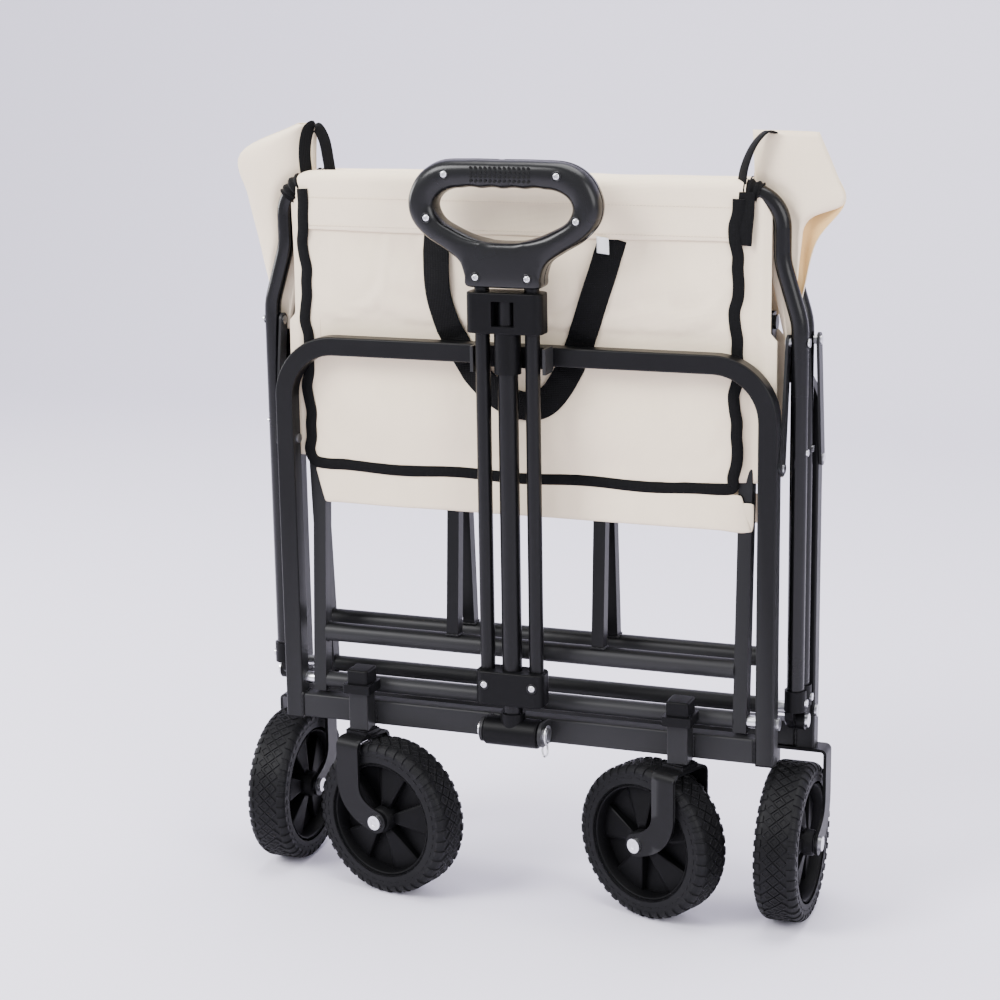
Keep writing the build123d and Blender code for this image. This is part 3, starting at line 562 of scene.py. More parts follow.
WEBBING = Woven("black_webbing", "webbing", (0.0028, 0.0028, 0.0031), 0.62, grain=0.0017,
                bump=0.0006, sheen=0.02, gloss=0.09)
THREAD = Finish("cream_thread", "canvas", (0.66, 0.55, 0.41), 0.7, grain=0.0005, bump=0.00005)
LABEL = Woven("white_label", "canvas", (0.85, 0.85, 0.85), 0.7, grain=0.0006, bump=0.0001)


# --- Wheels and forks --------------------------------------------------------


@dataclass
class Wheel:
    """Tyre with a diamond tread on a moulded hub.

    Attributes:
        label: Word used in piece names, such as caster_left.
        middle: Middle of the wheel.
        axle: Direction of the axle.
        tyre_node: Frame node that the tyre replaces.
        hub_node: Frame node that the hub replaces.
        body: Body that both ride on.
    """

    label: str
    middle: Vector
    axle: Vector
    tyre_node: str
    hub_node: str
    body: str
    radius: float = WHEEL_RADIUS
    half_width: float = 0.0196
    tread_height: float = 0.0013
    bore: float = 0.0566
    diamonds_round: int = 38
    lugs_round: int = 42

    def skin(self, angle: float, across: float, lift: float = 0.0) -> Vector:
        """Place on the tyre's rounded outside.

        Args:
            angle: Angle round the axle.
            across: Arc length from the tread's middle, over the shoulder and down the side.
            lift: Height above the rubber.

        Returns:
            Local place.
        """
        base = self.radius - self.tread_height
        corner = 0.007
        flat = self.half_width - corner
        way = 1 if across >= 0 else -1
        s = abs(across)
        bend = corner * pi / 2
        if s <= flat:
            r, h, out_r, out_h = base, s, 1.0, 0.0
        elif s <= flat + bend:
            turn = (s - flat) / corner
            out_r, out_h = cos(turn), sin(turn)
            r, h = base - corner + corner * out_r, flat + corner * out_h
        else:
            r, h, out_r, out_h = base - corner - (s - flat - bend), self.half_width, 0.0, 1.0
        r += out_r * lift
        h += out_h * lift
        return Vector((r * cos(angle), r * sin(angle), way * h))

    def tyre(self, place: Matrix) -> None:
        """Make the tyre: carcass, diamond ribs, shoulder lugs and side dashes.

        Args:
            place: Matrix that puts the wheel on its axle.
        """
        shape = Shape()
        end = 0.0126 + 0.011 + 0.0112
        stops = [-end + 2 * end * k / 44 for k in range(45)]
        steps = 96
        lip = [(self.bore + 0.0016, self.half_width), (self.bore, 0.0175), (self.bore, -0.0175),
               (self.bore + 0.0016, -self.half_width)]
        rows = []
        for k in range(steps):
            a = 2 * pi * k / steps
            rows.append([self.skin(a, s) for s in stops]
                        + [Vector((r * cos(a), r * sin(a), h)) for r, h in lip])
        shape.grid(rows, closed_rows=True, closed_ring=True)
        pitch = 2 * pi / self.diamonds_round
        for row in range(-1, 2):
            for k in range(self.diamonds_round):
                middle = (k + (0.5 if row % 2 else 0.0)) * pitch
                self.diamond(shape, middle, row * 0.0066, 0.47 * pitch, 0.0062)
        for way in (-1, 1):
            for k in range(self.lugs_round):
                a = 2 * pi * (k + (0.25 if way > 0 else 0)) / self.lugs_round
                self.lug(shape, a, way)
                self.dash(shape, a + pi / self.lugs_round, way)
        tyre = shape.make(f"{self.label}_tyre", TYRE, self.body, place)
        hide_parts(self.tyre_node)

    def diamond(self, shape: Shape, angle: float, across: float, half_angle: float, half: float) -> None:
        """Add one raised diamond outline with a low crown inside.

        Args:
            shape: Shape to add to.
            angle: Angle of its middle.
            across: Distance of its middle from the tread's middle.
            half_angle: Half its extent round the tyre.
            half: Half its extent across the tyre.
        """
        rings = []
        rib = self.tread_height
        for share, lift in ((1.0, -0.0004), (0.9, rib), (0.62, rib), (0.5, 0.0004)):
            rings.append([self.skin(angle + share * half_angle * da, across + share * half * dw, lift)
                          for da, dw in ((1, 0), (0, 1), (-1, 0), (0, -1))])
        shape.grid(rings, closed_rows=True, flat=True)
        shape.cap(rings[-1])

    def lug(self, shape: Shape, angle: float, way: int) -> None:
        """Add one block that wraps over the shoulder.

        Args:
            shape: Shape to add to.
            angle: Angle of its middle.
            way: Side of the tyre, -1 or 1.
        """
        width = 0.62 * pi / self.lugs_round
        spans = [0.0128 + (0.0235 - 0.0128) * k / 5 for k in range(6)]
        rows = []
        for share, up in ((-1, -0.0005), (-0.86, 1), (0.86, 1), (1, -0.0005)):
            line = []
            for i, s in enumerate(spans):
                lift = self.tread_height * (0.35 if i == 5 else 1.0) if up == 1 else up
                skew = 0.35 * width * (i / 5)
                line.append(self.skin(angle + share * width + skew, way * s, min(lift, 0.0013)))
            rows.append(line)
        shape.grid(rows, flat=True)
        for i in (0, 5):
            shape.cap([row[i] for row in rows])

    def dash(self, shape: Shape, angle: float, way: int) -> None:
        """Add one short rib on the side of the tyre.

        Args:
            shape: Shape to add to.
            angle: Angle of its middle.
            way: Side of the tyre, -1 or 1.
        """
        rings = []
        for share, lift in ((1.0, -0.0002), (0.8, 0.0005)):
            rings.append([self.skin(angle + da * 0.045 * share, way * (0.0272 + dw * 0.0007 * share), lift)
                          for da, dw in ((1, -1), (1, 1), (-1, 1), (-1, -1))])
        shape.grid(rings, closed_rows=True, flat=True)
        shape.cap(rings[-1])

    def hub(self, place: Matrix) -> None:
        """Make the hub: rim, boss, five raised fans and five deep pockets on each face.

        Args:
            place: Matrix that puts the wheel on its axle.
        """
        shape = Shape()
        rim = [(0.0569, -0.0170), (0.0562, -0.0178), (0.0548, -0.0178), (0.0541, -0.0170), (0.0530, -0.004),
               (0.0530, 0.004), (0.0541, 0.0170), (0.0548, 0.0178), (0.0562, 0.0178), (0.0569, 0.0170)]
        shape.grid(lathe(rim), closed_rows=True, closed_ring=True)
        boss = [(0.0042, -0.0222), (0.0110, -0.0222), (0.0124, -0.0208), (0.0130, -0.003),
                (0.0130, 0.003), (0.0124, 0.0208), (0.0110, 0.0222), (0.0042, 0.0222)]
        shape.grid(lathe(boss, 48), closed_rows=True, closed_ring=True)
        inner, outer, count, fan = 0.0115, 0.0534, 5, radians(38)
        for way in (-1, 1):
            for k in range(count):
                start = 2 * pi * k / count + radians(9)
                radii = [inner + (outer - inner) * i / 5 for i in range(6)]
                rows = []
                for j in range(9):
                    a = start + fan * j / 8
                    heights = [0.0136 - 0.0062 * ((r - inner) / (outer - inner)) for r in radii]
                    rows.append([Vector((r * cos(a), r * sin(a), way * h)) for r, h in zip(radii, heights)])
                shape.grid(rows)
                for edge in (rows[0], rows[-1]):
                    wall = [Vector((p.x, p.y, way * 0.0022)) for p in edge]
                    shape.grid([edge, wall], flat=True)
                nose = [Vector((p[0].x, p[0].y, way * 0.0022)) for p in rows]
                shape.grid([[p[0] for p in rows], nose], flat=True)
        web = [(0.0100, -0.0024), (0.0535, -0.0024), (0.0535, 0.0024), (0.0100, 0.0024)]
        shape.grid(lathe(web, 60), closed_rows=True, closed_ring=True, flat=True)
        hub = shape.make(f"{self.label}_hub", HUB, self.body, place)
        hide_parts(self.hub_node)

    def build(self) -> None:
        """Make the whole wheel."""
        place = upright(self.middle, self.axle)
        self.tyre(place)
        self.hub(place)


@dataclass
class Fork:
    """Pressed sheet fork whose strap runs up from one axle eye, over the wheel and down to the other.

    Attributes:
        label: Name of the piece.
        middle: Middle of the wheel that it holds.
        axle: Direction of the axle.
        stem: Distance from the axle to the middle of the crown, along the trail.
        top: Height of the crown above the axle.
        body: Body that it rides on.
    """

    label: str
    middle: Vector
    axle: Vector
    stem: float
    top: float
    body: str
    half_gap: float = 0.025
    half_leg: float = 0.013
    knee: float = 0.036
    corner: float = 0.0075
    eye: float = 0.0112
    sheet: float = 0.003

    def leg_line(self) -> list[tuple[Vector, float]]:
        """Middle line of one leg in the wheel's plane, from the eye's end to the crown's bend.

        Returns:
            Pairs of a place, as trail and height, and the half width there.
        """
        out = []
        start, knee = Vector((0, 0)), Vector((self.stem, self.knee))
        control = Vector((self.stem, self.knee * 0.25))
        heading = (control - start).normalized()
        for k in range(7):
            back = self.eye * cos(pi / 2 * k / 7)
            out.append((start - heading * back, (self.eye ** 2 - back ** 2) ** 0.5 + 1e-4))
        for k in range(13):
            t = k / 12
            place = start * (1 - t) ** 2 + control * 2 * t * (1 - t) + knee * t * t
            out.append((place, self.eye + (self.half_leg - self.eye) * t))
        rise = self.top - self.corner - self.knee
        for k in range(1, 5):
            out.append((Vector((self.stem, self.knee + rise * k / 4)), self.half_leg))
        return out

    def build(self, *nodes: str) -> bpy.types.Object:
        """Make the fork.

        Args:
            nodes: Frame nodes that it stands for.

        Returns:
            The fork.
        """
        line = self.leg_line()
        stations = []
        for i, (p, half) in enumerate(line):
            after = line[min(i + 1, len(line) - 1)][0]
            before = line[max(i - 1, 0)][0]
            along = (after - before).normalized()
            across = Vector((along.y, -along.x))
            stations.append((p, half, across, self.half_gap))
        bend = []
        for k in range(1, 7):
            a = pi / 2 * k / 6
            height = self.top - self.corner + self.corner * sin(a)
            bend.append((Vector((self.stem, height)), self.half_leg, Vector((1, 0)),
                         self.half_gap - self.corner + self.corner * cos(a)))
        half_strap = stations + bend
        rows = [self.row(*s) for s in half_strap]
        rows += [self.row(p, h, w, -n) for p, h, w, n in reversed(half_strap)]
        shape = Shape()
        shape.grid(rows)
        axle = self.axle.normalized()
        up = Vector((0, 0, 1))
        trail = up.cross(axle)
        place = Matrix.Translation(self.middle) @ Matrix((trail, up, axle)).transposed().to_4x4()
        fork = shape.make(self.label, SATIN_PAINT, self.body, place)
        thicken(fork, self.sheet)
        bevel(fork, 0.0008, 2, 50)
        if nodes:
            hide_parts(*nodes)
        return fork

    def row(self, place: Vector, half: float, across: Vector, depth: float) -> list[Vector]:
        """Line of points across the strap.

        Args:
            place: Middle, as trail and height.
            half: Half width.
            across: Direction across the strap in the wheel's plane.
            depth: Distance from the wheel's plane.

        Returns:
            The points.
        """
        points = []
        for share in (-1, -0.5, 0, 0.5, 1):
            q = place + across * (half * share)
            points.append(Vector((q.x, q.y, depth)))
        return points


def button_head(shape: Shape, middle: Vector, axis: Vector, radius: float, height: float) -> None:
    """Add a domed bolt head with a hexagon socket.

    Args:
        shape: Shape to add to.
        middle: Middle of the seat under the head.
        axis: Direction in which the head stands out.
        radius: Radius of the head.
        height: Height of the dome.
    """
    z = axis.normalized()
    x = z.orthogonal().normalized()
    y = z.cross(x)
    rows = []
    socket = radius * 0.42
    for r, h in ((1.0, 0.0), (1.0, 0.22), (0.9, 0.6), (0.72, 0.88), (0.5, 1.0)):
        rows.append([middle + (x * cos(a) + y * sin(a)) * (radius * r) + z * (height * h)
                     for a in (2 * pi * k / 24 for k in range(24))])
    shape.grid(rows, closed_rows=True)
    hexagon = []
    for k in range(24):
        a = 2 * pi * k / 24
        edge = socket / cos((a % (pi / 3)) - pi / 6) * 0.95
        hexagon.append((x * cos(a) + y * sin(a)) * edge)
    top = [middle + p + z * height for p in hexagon]
    low = [middle + p + z * (height * 0.35) for p in hexagon]
    shape.grid([rows[-1], top], closed_rows=True)
    shape.grid([top, low], closed_rows=True, flat=True)
    shape.cap(low)


def axle_heads(name: str, middle: Vector, axle: Vector, body: str) -> None:
    """Make the bolt heads at both ends of an axle.

    Args:
        name: Name of the piece.
        middle: Middle of the wheel.
        axle: Direction of the axle.
        body: Body that they ride on.
    """
    reach, radius, height = 0.0266, 0.0066, 0.0031
    heads = Shape()
    for way in (-1, 1):
        button_head(heads, middle + axle * (way * reach), axle * way, radius, height)
    heads.make(name, ZINC, body)


@dataclass
class Running:
    """Wheels, forks, axle bolts and kingpin collars."""

    wheel_radius: float = WHEEL_RADIUS
    caster_x: float = CASTER_X
    post_y: float = -0.0385
    trail: float = 0.033
    rear_x: float = 0.259
    rear_y: float = 0.0085
    rear_frame_y: float = 0.0425
    caster_angle: dict[Side, float] = field(default_factory=lambda: {Side.LEFT: -14.0, Side.RIGHT: 158.0})

    def build(self, nodes: dict[str, bpy.types.Object]) -> None:
        """Make all four wheels and their forks.

        Args:
            nodes: The frame's objects by name.
        """
        for side in Side:
            self.caster(side)
            self.rear(side)
        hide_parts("rear_forks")
        ZINC.repaint(nodes, "rear_axles", "caster_pins_left", "caster_pins_right")

    def caster(self, side: Side) -> None:
        """Make one caster.

        Args:
            side: Its side.
        """
        word = side.word
        a = radians(self.caster_angle[side])
        post = Vector((side.value * self.caster_x, self.post_y, 0))
        middle = post + Vector((cos(a), sin(a), 0)) * self.trail + Vector((0, 0, self.wheel_radius))
        axle = Vector((-sin(a), cos(a), 0))
        Wheel(f"caster_{word}", middle, axle, f"caster_tyre_{word}", f"caster_hub_{word}",
              f"caster_wheel_{word}").build()
        # The strap's trail points from the post to the axle, so the crown lies at minus the trail.
        fork = Fork(f"fork_caster_{word}", middle, -axle, -self.trail, 0.0775, f"caster_{word}")
        fork.build(f"caster_fork_{word}")
        shape = Shape()
        half, z0, z1, step = 0.0122, 0.1545, 0.1605, 0.0014
        turn = Matrix.Rotation(a, 3, "Z")
        for low, high, size in ((z0, z1 - step, half), (z1 - step, z1, half - 0.0016)):
            shape.block(post, size, low, high, turn)
        collar = shape.make(f"kingpin_collar_{word}", SATIN_PAINT, f"caster_{word}", merge=0)
        bevel(collar, 0.0016, 3)
        axle_heads(f"caster_bolt_heads_{word}", middle, axle, f"caster_{word}")

    def rear(self, side: Side) -> None:
        """Make one rear wheel and its fork.

        Args:
            side: Its side.
        """
        word = side.word
        middle = Vector((side.value * self.rear_x, self.rear_y, self.wheel_radius))
        axle = Vector((side.value, 0, 0))
        Wheel(f"rear_{word}", middle, Vector((1, 0, 0)), f"rear_tyre_{word}", f"rear_hub_{word}",
              f"rear_wheel_{word}").build()
        back = self.rear_frame_y - self.rear_y
        # With the axle along X the strap's trail runs along Y.
        fork = Fork(f"rear_fork_{word}", middle, Vector((1, 0, 0)), back, 0.0835, "rear_frame",
                    half_leg=0.011, corner=0.004, knee=0.038)
        fork.build()
        axle_heads(f"rear_bolt_heads_{word}", middle, axle, "rear_frame")


# --- Steel frame -------------------------------------------------------------


def weld(shape: Shape, corners: Sequence[Point], radius: float = 0.0017) -> None:
    """Add a rippled weld bead along straight runs.

    Args:
        shape: Shape to add to.
        corners: Corners of the bead's path.
        radius: Mean radius of the bead.
    """
    path: list[Vector] = []
    for a, b in zip(corners, corners[1:]):
        start, end = Vector(a), Vector(b)
        steps = max(2, ceil((end - start).length / 0.0007))
        path += [start.lerp(end, k / steps) for k in range(steps)]
    path.append(Vector(corners[-1]))
    count = len(path)
    shape.tube(path, lambda t: radius * (0.82 + 0.25 * abs(sin(t * count * 0.42))), 8)


@dataclass
class SteelFrame:
    """End frames, tall hoops, links and floor halves: paint on the frame's nodes, and the welds."""

    def build(self, nodes: dict[str, bpy.types.Object]) -> None:
        """Paint the nodes and add the weld beads.

        Args:
            nodes: The frame's objects by name.
        """
        for end in End:
            w = end.word
            SATIN_PAINT.repaint(nodes, f"{w}_frame_hoop", f"{w}_crossbar", f"{w}_swing_links",
                                f"{w}_floor_arms", f"{w}_floor_tubes")
            GLOSS_PAINT.repaint(nodes, f"{w}_tall_hoop")
            ZINC.repaint(nodes, f"{w}_frame_bolts", f"{w}_link_rivets", f"{w}_hoop_screws")
            BLACK_STEEL.repaint(nodes, f"{w}_floor_hinge_bolts")
            CAP.repaint(nodes, f"{w}_foot_caps")
            self.welds(end)
            self.tube_ends(end)
        SATIN_PAINT.repaint(nodes, "caster_posts", "handle_clevis", "stem_clip")
        CAP.repaint(nodes, "post_caps")
        self.post_welds()

    def welds(self, end: End) -> None:
        """Weld beads of one end frame and one floor half.

        Args:
            end: Which end.
        """
        low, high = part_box(f"{end.word}_crossbar")
        beads = Shape()
        for side in Side:
            x = side.value * (high.x - 0.0004)
            y0, y1, z0, z1 = low.y + 0.0015, high.y - 0.0015, low.z + 0.001, high.z - 0.0015
            weld(beads, [(x, y0 - 0.0012, z0), (x, y0 - 0.0012, z1 + 0.0012), (x, y1 + 0.0012, z1 + 0.0012),
                         (x, y1 + 0.0012, z0)])
        beads.make(f"{end.word}_crossbar_welds", SATIN_PAINT, f"{end.word}_frame")

        floor = Shape()
        pivot, along, face = floor_line(end)
        face *= -end.value
        inside = 0.208 if end is End.FRONT else 0.2225
        for side in Side:
            x = side.value * 0.074
            for distance, radius, way in ((0.049, 0.0093, 1), (0.240, 0.0058, -1)):
                p = pivot + along * (distance + way * (radius - 0.0004))
                ring = [p + Vector((x + dx * 0.0062, 0, 0)) + face * (dy * 0.0062)
                        for dx, dy in ((-1, -1), (1, -1), (1, 1), (-1, 1), (-1, -1))]
                weld(floor, ring, 0.0013)
            for distance, radius in ((0.0, 0.0082), (0.049, 0.0096), (0.240, 0.0061)):
                p = pivot + along * distance + Vector((side.value * (inside - 0.0003), 0, 0))
                ring = [p + along * (radius * cos(a)) + face * (min(radius, 0.0067) * sin(a))
                        for a in (2 * pi * k / 16 for k in range(17))]
                weld(floor, ring, 0.0012)
        floor.make(f"{end.word}_floor_welds", SATIN_PAINT, f"floor_{end.word}")

    def tube_ends(self, end: End) -> None:
        """Plastic plugs in the open feet of an end frame.

        Args:
            end: Which end.
        """
        low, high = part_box(f"{end.word}_frame_hoop")
        mid_y = (low.y + high.y) / 2
        shape = Shape()
        for side in Side:
            x = side.value * (high.x - 0.009)
            for half, z0, z1 in ((0.0086, low.z - 0.0018, low.z), (0.0072, low.z, low.z + 0.006)):
                shape.block(Vector((x, mid_y, 0)), half, z0, z1)
        bevel(shape.make(f"{end.word}_leg_plugs", CAP, f"{end.word}_frame", merge=0), 0.0006, 2)

    def post_welds(self) -> None:
        """Weld beads between the caster posts and the front crossbar."""
        low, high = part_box("front_crossbar")
        half_post = 0.0102
        y = low.y - 0.0003
        shape = Shape()
        for side in Side:
            for x in (side.value * (CASTER_X - half_post), side.value * (CASTER_X + half_post)):
                weld(shape, [(x, y, low.z + 0.001), (x, y, high.z - 0.001)])
        shape.make("post_welds", SATIN_PAINT, "front_frame")


# --- Handle ------------------------------------------------------------------


@dataclass
class Handle:
    """Pull handle: grip with dimples and screws, sliding tubes, collar, yoke and pivot."""

    y: float = -0.0495
    grip_half_depth: float = 0.015
    finger_width: float = 0.0205
    dimple_columns: int = 13
    dimple_rows: int = 4

    def build(self, nodes: dict[str, bpy.types.Object]) -> None:
        """Paint the nodes and add the small parts.

        Args:
            nodes: The frame's objects by name.
        """
        self.grip()
        HANDLE_PAINT.repaint(nodes, "stem_tube", "slider_tubes")
        CAP.repaint(nodes, "pivot_barrel", "guide_collar", "slider_yoke")
        self.screws()
        self.dimples()
        self.pivot()

    def grip(self) -> None:
        """Grip lofted between its outer outline and its hand opening."""
        # Right half of both outlines, in millimetres.
        outer = [(0, 719), (34, 719), (62, 717), (82, 705), (92.6, 684), (90, 664), (76, 648),
                 (56, 636), (42, 626), (37, 614), (35.5, 604), (20, 603), (0, 603)]
        inner = [(0, 692.5), (30, 692.5), (48, 692), (61, 686), (66, 676), (60, 664), (46, 656),
                 (32, 650), (22, 647), (16, 645.5), (11, 645), (5, 644.8), (0, 644.8)]
        outside, inside = (smooth_path([(x / 1000, 0, z / 1000) for x, z in outline], 6)
                           for outline in (outer, inner))
        pairs = list(zip(outside, inside))
        pairs += [(Vector((-o.x, 0, o.z)), Vector((-i.x, 0, i.z))) for o, i in reversed(pairs[1:-1])]
        rows = []
        sides = 28
        for o, i in pairs:
            scallop = 0.0
            if i.z > 0.688 and abs(i.x) < 0.042:
                scallop = 0.0016 * abs(sin(pi * i.x / self.finger_width)) - 0.0003
            i = Vector((i.x, 0, i.z + scallop))
            middle, half = (o + i) / 2, (o - i) / 2
            neck = min(1.0, max(0.0, (0.640 - o.z) / 0.02))
            # The section is rounder in the ring and squarer in the neck.
            power = 0.72 - 0.42 * neck
            row = []
            for a in (2 * pi * k / sides for k in range(sides)):
                across, deep = (copysign(abs(v) ** power, v) for v in (cos(a), sin(a)))
                row.append(Vector((0, self.y, 0)) + middle + half * across
                           + Vector((0, self.grip_half_depth * deep, 0)))
            rows.append(row)
        shape = Shape()
        shape.grid(rows, closed_rows=True, closed_ring=True)
        grip = shape.make("grip", GRIP, "handle_slider")
        soften(grip)
        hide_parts("grip_front_shell", "grip_back_shell")
        seam = Shape()
        proud = 0.00005
        line = [Vector((o.x, self.y, o.z)) + (o - i).normalized() * proud
                for o, i in pairs if o.z > 0.606]
        seam.tube(line, 0.00028, 5)
        seam.make("grip_seam", DIMPLE, "handle_slider")

    def screws(self) -> None:
        """Screw heads of the grip and the yoke, each in its recess ring."""
        heads, rings = Shape(), Shape()
        toward = Vector((0, -1, 0))
        places = [(sx * x, z, self.y - self.grip_half_depth) for sx in (-1, 1)
                  for x, z in ((0.054, 0.706), (0.072, 0.666), (0.025, 0.613))]
        places += [(sx * 0.024, 0.225, self.y - 0.014) for sx in (-1, 1)]
        for x, z, face in places:
            button_head(heads, Vector((x, face + 0.0002, z)), toward, 0.0033, 0.0017)
            ring = [Vector((x + 0.0042 * cos(a), face, z + 0.0042 * sin(a)))
                    for a in (2 * pi * k / 24 for k in range(24))]
            rings.tube(ring, 0.0008, 6, closed=True)
        piece = heads.make("handle_screw_heads", ZINC, "handle_slider")
        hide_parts("slider_screws")
        rings.make("handle_screw_recesses", GRIP, "handle_slider")

    def dimples(self) -> None:
        """Rows of dimples on the front of the grip's top bar."""
        shape = Shape()
        for i in range(self.dimple_columns):
            for j in range(self.dimple_rows):
                x = (i - (self.dimple_columns - 1) / 2) * 0.0046
                z = 0.7125 - j * 0.0040
                face = self.y - self.grip_half_depth
                # The top edge of the shell is rounded off above this height.
                drop = max(0.0, z - 0.7100)
                y = face + 0.009 - (0.009 ** 2 - min(drop, 0.008) ** 2) ** 0.5
                ring = [Vector((x + 0.0012 * cos(a), y - 0.0002, z + 0.0012 * sin(a)))
                        for a in (2 * pi * k / 12 for k in range(12))]
                shape.cap(ring)
                shape.tube(ring, 0.0003, 5, closed=True)
        shape.make("grip_dimples", DIMPLE, "handle_slider")

    def pivot(self) -> None:
        """Split clip under the pivot bolt's nut, and washers."""
        shape = Shape()
        x = 0.0345
        middle = Vector((x, self.y, 0.176))
        shape.tube([middle + Vector((0, 0.0085 * cos(a), 0.0085 * sin(a)))
                    for a in (2 * pi * k / 32 for k in range(32))], 0.0011, 8, closed=True)
        loop = smooth_path([(x - 0.001, self.y + 0.002, 0.1665), (x + 0.001, self.y - 0.003, 0.159),
                            (x - 0.003, self.y - 0.001, 0.1545), (x - 0.006, self.y + 0.002, 0.160),
                            (x - 0.004, self.y + 0.003, 0.1655)])
        shape.tube(loop, 0.0009, 8)
        shape.make("pivot_clip", ZINC, "front_frame")


# --- Stage -------------------------------------------------------------------


@dataclass
class Studio:
    """Pale seamless floor, soft lights and the camera."""

    backdrop: Colour = (0.82, 0.79, 0.90)
    azimuth: float = 20.7
    pitch: float = 13.3
    roll: float = -0.91
    lens: float = 85.7
    eye: tuple[float, float, float] = (0.755, -2.0735, 0.914)

    def build(self) -> None:
        """Make the floor, the lights and the camera."""
        self.floor()
        self.lights()
        self.camera()

    def floor(self) -> None:
        """Floor that curves up into a backdrop."""
        shape = Shape()
        rows = []
        back, curve, top, half_width = 2.2, 1.2, 7.0, 9.0
        profile = [(-6.0, 0.0), (back, 0.0)]
        profile += [(back + curve * sin(a), curve - curve * cos(a))
                    for a in (pi / 2 * k / 16 for k in range(1, 17))]
        profile += [(back + curve, top)]
        for x in (-half_width, half_width):
            rows.append([Vector((x, y, z)) for y, z in profile])
        shape.grid(rows)
        mesh = bpy.data.meshes.new("studio_floor")
        mesh.from_pydata([tuple(p) for p in shape.corners], [], shape.faces)
        floor = bpy.data.objects.new("studio_floor", mesh)
        bpy.context.scene.collection.objects.link(floor)
        for polygon in mesh.polygons:
            polygon.use_smooth = True
        mat = bpy.data.materials.new("pale_floor")
        mat.use_nodes = True
        shader = mat.node_tree.nodes["Principled BSDF"]
        shader.inputs["Base Color"].default_value = (*self.backdrop, 1)
        shader.inputs["Roughness"].default_value = 0.7
        shader.inputs["Specular IOR Level"].default_value = 0.15
        mesh.materials.append(mat)

    def lights(self) -> None:
        """Large soft lights and an even sky."""
        world = bpy.data.worlds.new("studio")
        bpy.context.scene.world = world
        world.use_nodes = True
        sky = world.node_tree.nodes["Background"]
        sky.inputs["Color"].default_value = (0.93, 0.93, 1.0, 1)
        sky.inputs["Strength"].default_value = 1.2
        target = Vector((0, 0, 0.35))
        for name, place, size, power in (
            ("key", (-1.9, -2.2, 2.6), 1.8, 160.0),
            ("fill", (2.6, -1.6, 1.7), 2.2, 72.0),
            ("top", (0.2, 0.3, 3.0), 2.4, 100.0),
            ("strip", (-2.4, 0.2, 1.0), 0.9, 30.0),
        ):
            light = bpy.data.lights.new(name, "AREA")
            light.shape = "DISK"
            light.size = size
            light.energy = power
            lamp = bpy.data.objects.new(name, light)
            bpy.context.scene.collection.objects.link(lamp)
            lamp.location = place
            lamp.rotation_euler = (target - Vector(place)).to_track_quat("-Z", "Y").to_euler()

    def camera(self) -> None:
        """Camera at the viewing place."""
        az, pitch, roll = radians(self.azimuth), radians(self.pitch), radians(self.roll)
        ahead = Vector((-sin(az) * cos(pitch), cos(az) * cos(pitch), -sin(pitch)))
        right = Vector((cos(az), sin(az), 0))
        up = right.cross(ahead)
        across = right * cos(roll) + up * sin(roll)
        above = up * cos(roll) - right * sin(roll)
        data = bpy.data.cameras.new("camera")
        data.lens = self.lens
        data.sensor_width = 36.0
        camera = bpy.data.objects.new("camera", data)
        bpy.context.scene.collection.objects.link(camera)
        turn = Matrix((across, above, -ahead)).transposed().to_4x4()
        camera.matrix_world = Matrix.Translation(Vector(self.eye)) @ turn
        bpy.context.scene.camera = camera


# --- Bag ---------------------------------------------------------------------


def wrinkle(x: float, z: float, scale: float, seed: float) -> float:
    """Smooth unevenness of cloth.

    Args:
        x: Place across.
        z: Height.
        scale: Size of one wave in metres.
        seed: Number that sets this cloth apart from the others.

    Returns:
        Value from about -1 to 1.
    """
    return noise.noise(Vector((x / scale, seed, z / (scale * 1.7))))


def ribbon(shape: Shape, path: Sequence[Vector], across: Callable[[float], Vector], width: float,
           thickness: float, rib: float = 0.0) -> None:
    """Add a flat band of webbing or binding along a path.

    Args:
        shape: Shape to add to.
        path: Points along the band's middle.
        across: Direction of the band's width, by the share of the way along.
        width: Width of the band.
        thickness: Thickness of the band.
        rib: Height of the ribs across the band.
    """
    rows = []
    count = len(path)
    for i, p in enumerate(path):
        t = i / (count - 1)
        along = (path[min(i + 1, count - 1)] - path[max(i - 1, 0)]).normalized()
        side = across(t).normalized()
        side = (side - along * side.dot(along)).normalized()
        face = along.cross(side)
        lift = thickness / 2 + (rib if i % 2 else 0.0)
        row = []
        for sx, sy in ((-1, 0.35), (-0.9, 1), (-0.45, 1.1), (0, 1.12), (0.45, 1.1), (0.9, 1), (1, 0.35),
                       (1, -0.35), (0.9, -1), (0, -1.05), (-0.9, -1), (-1, -0.35)):
            row.append(p + side * (sx * width / 2) + face * (sy * lift))
        rows.append(row)
    shape.grid(rows, closed_rows=True)
    shape.cap(reversed(rows[0]))
    shape.cap(rows[-1])


def resample(path: Sequence[Vector], step: float) -> list[Vector]:
    """Points at an even distance along a path.

    Args:
        path: Points of the path.
        step: Distance between two new points.

    Returns:
        The new points.
    """
    out = [Vector(path[0])]
    left = step
    for a, b in zip(path, path[1:]):
        length = (b - a).length
        done = 0.0
        while length - done >= left:
            done += left
            out.append(a.lerp(b, done / length))
            left = step
        left -= length - done
    return out


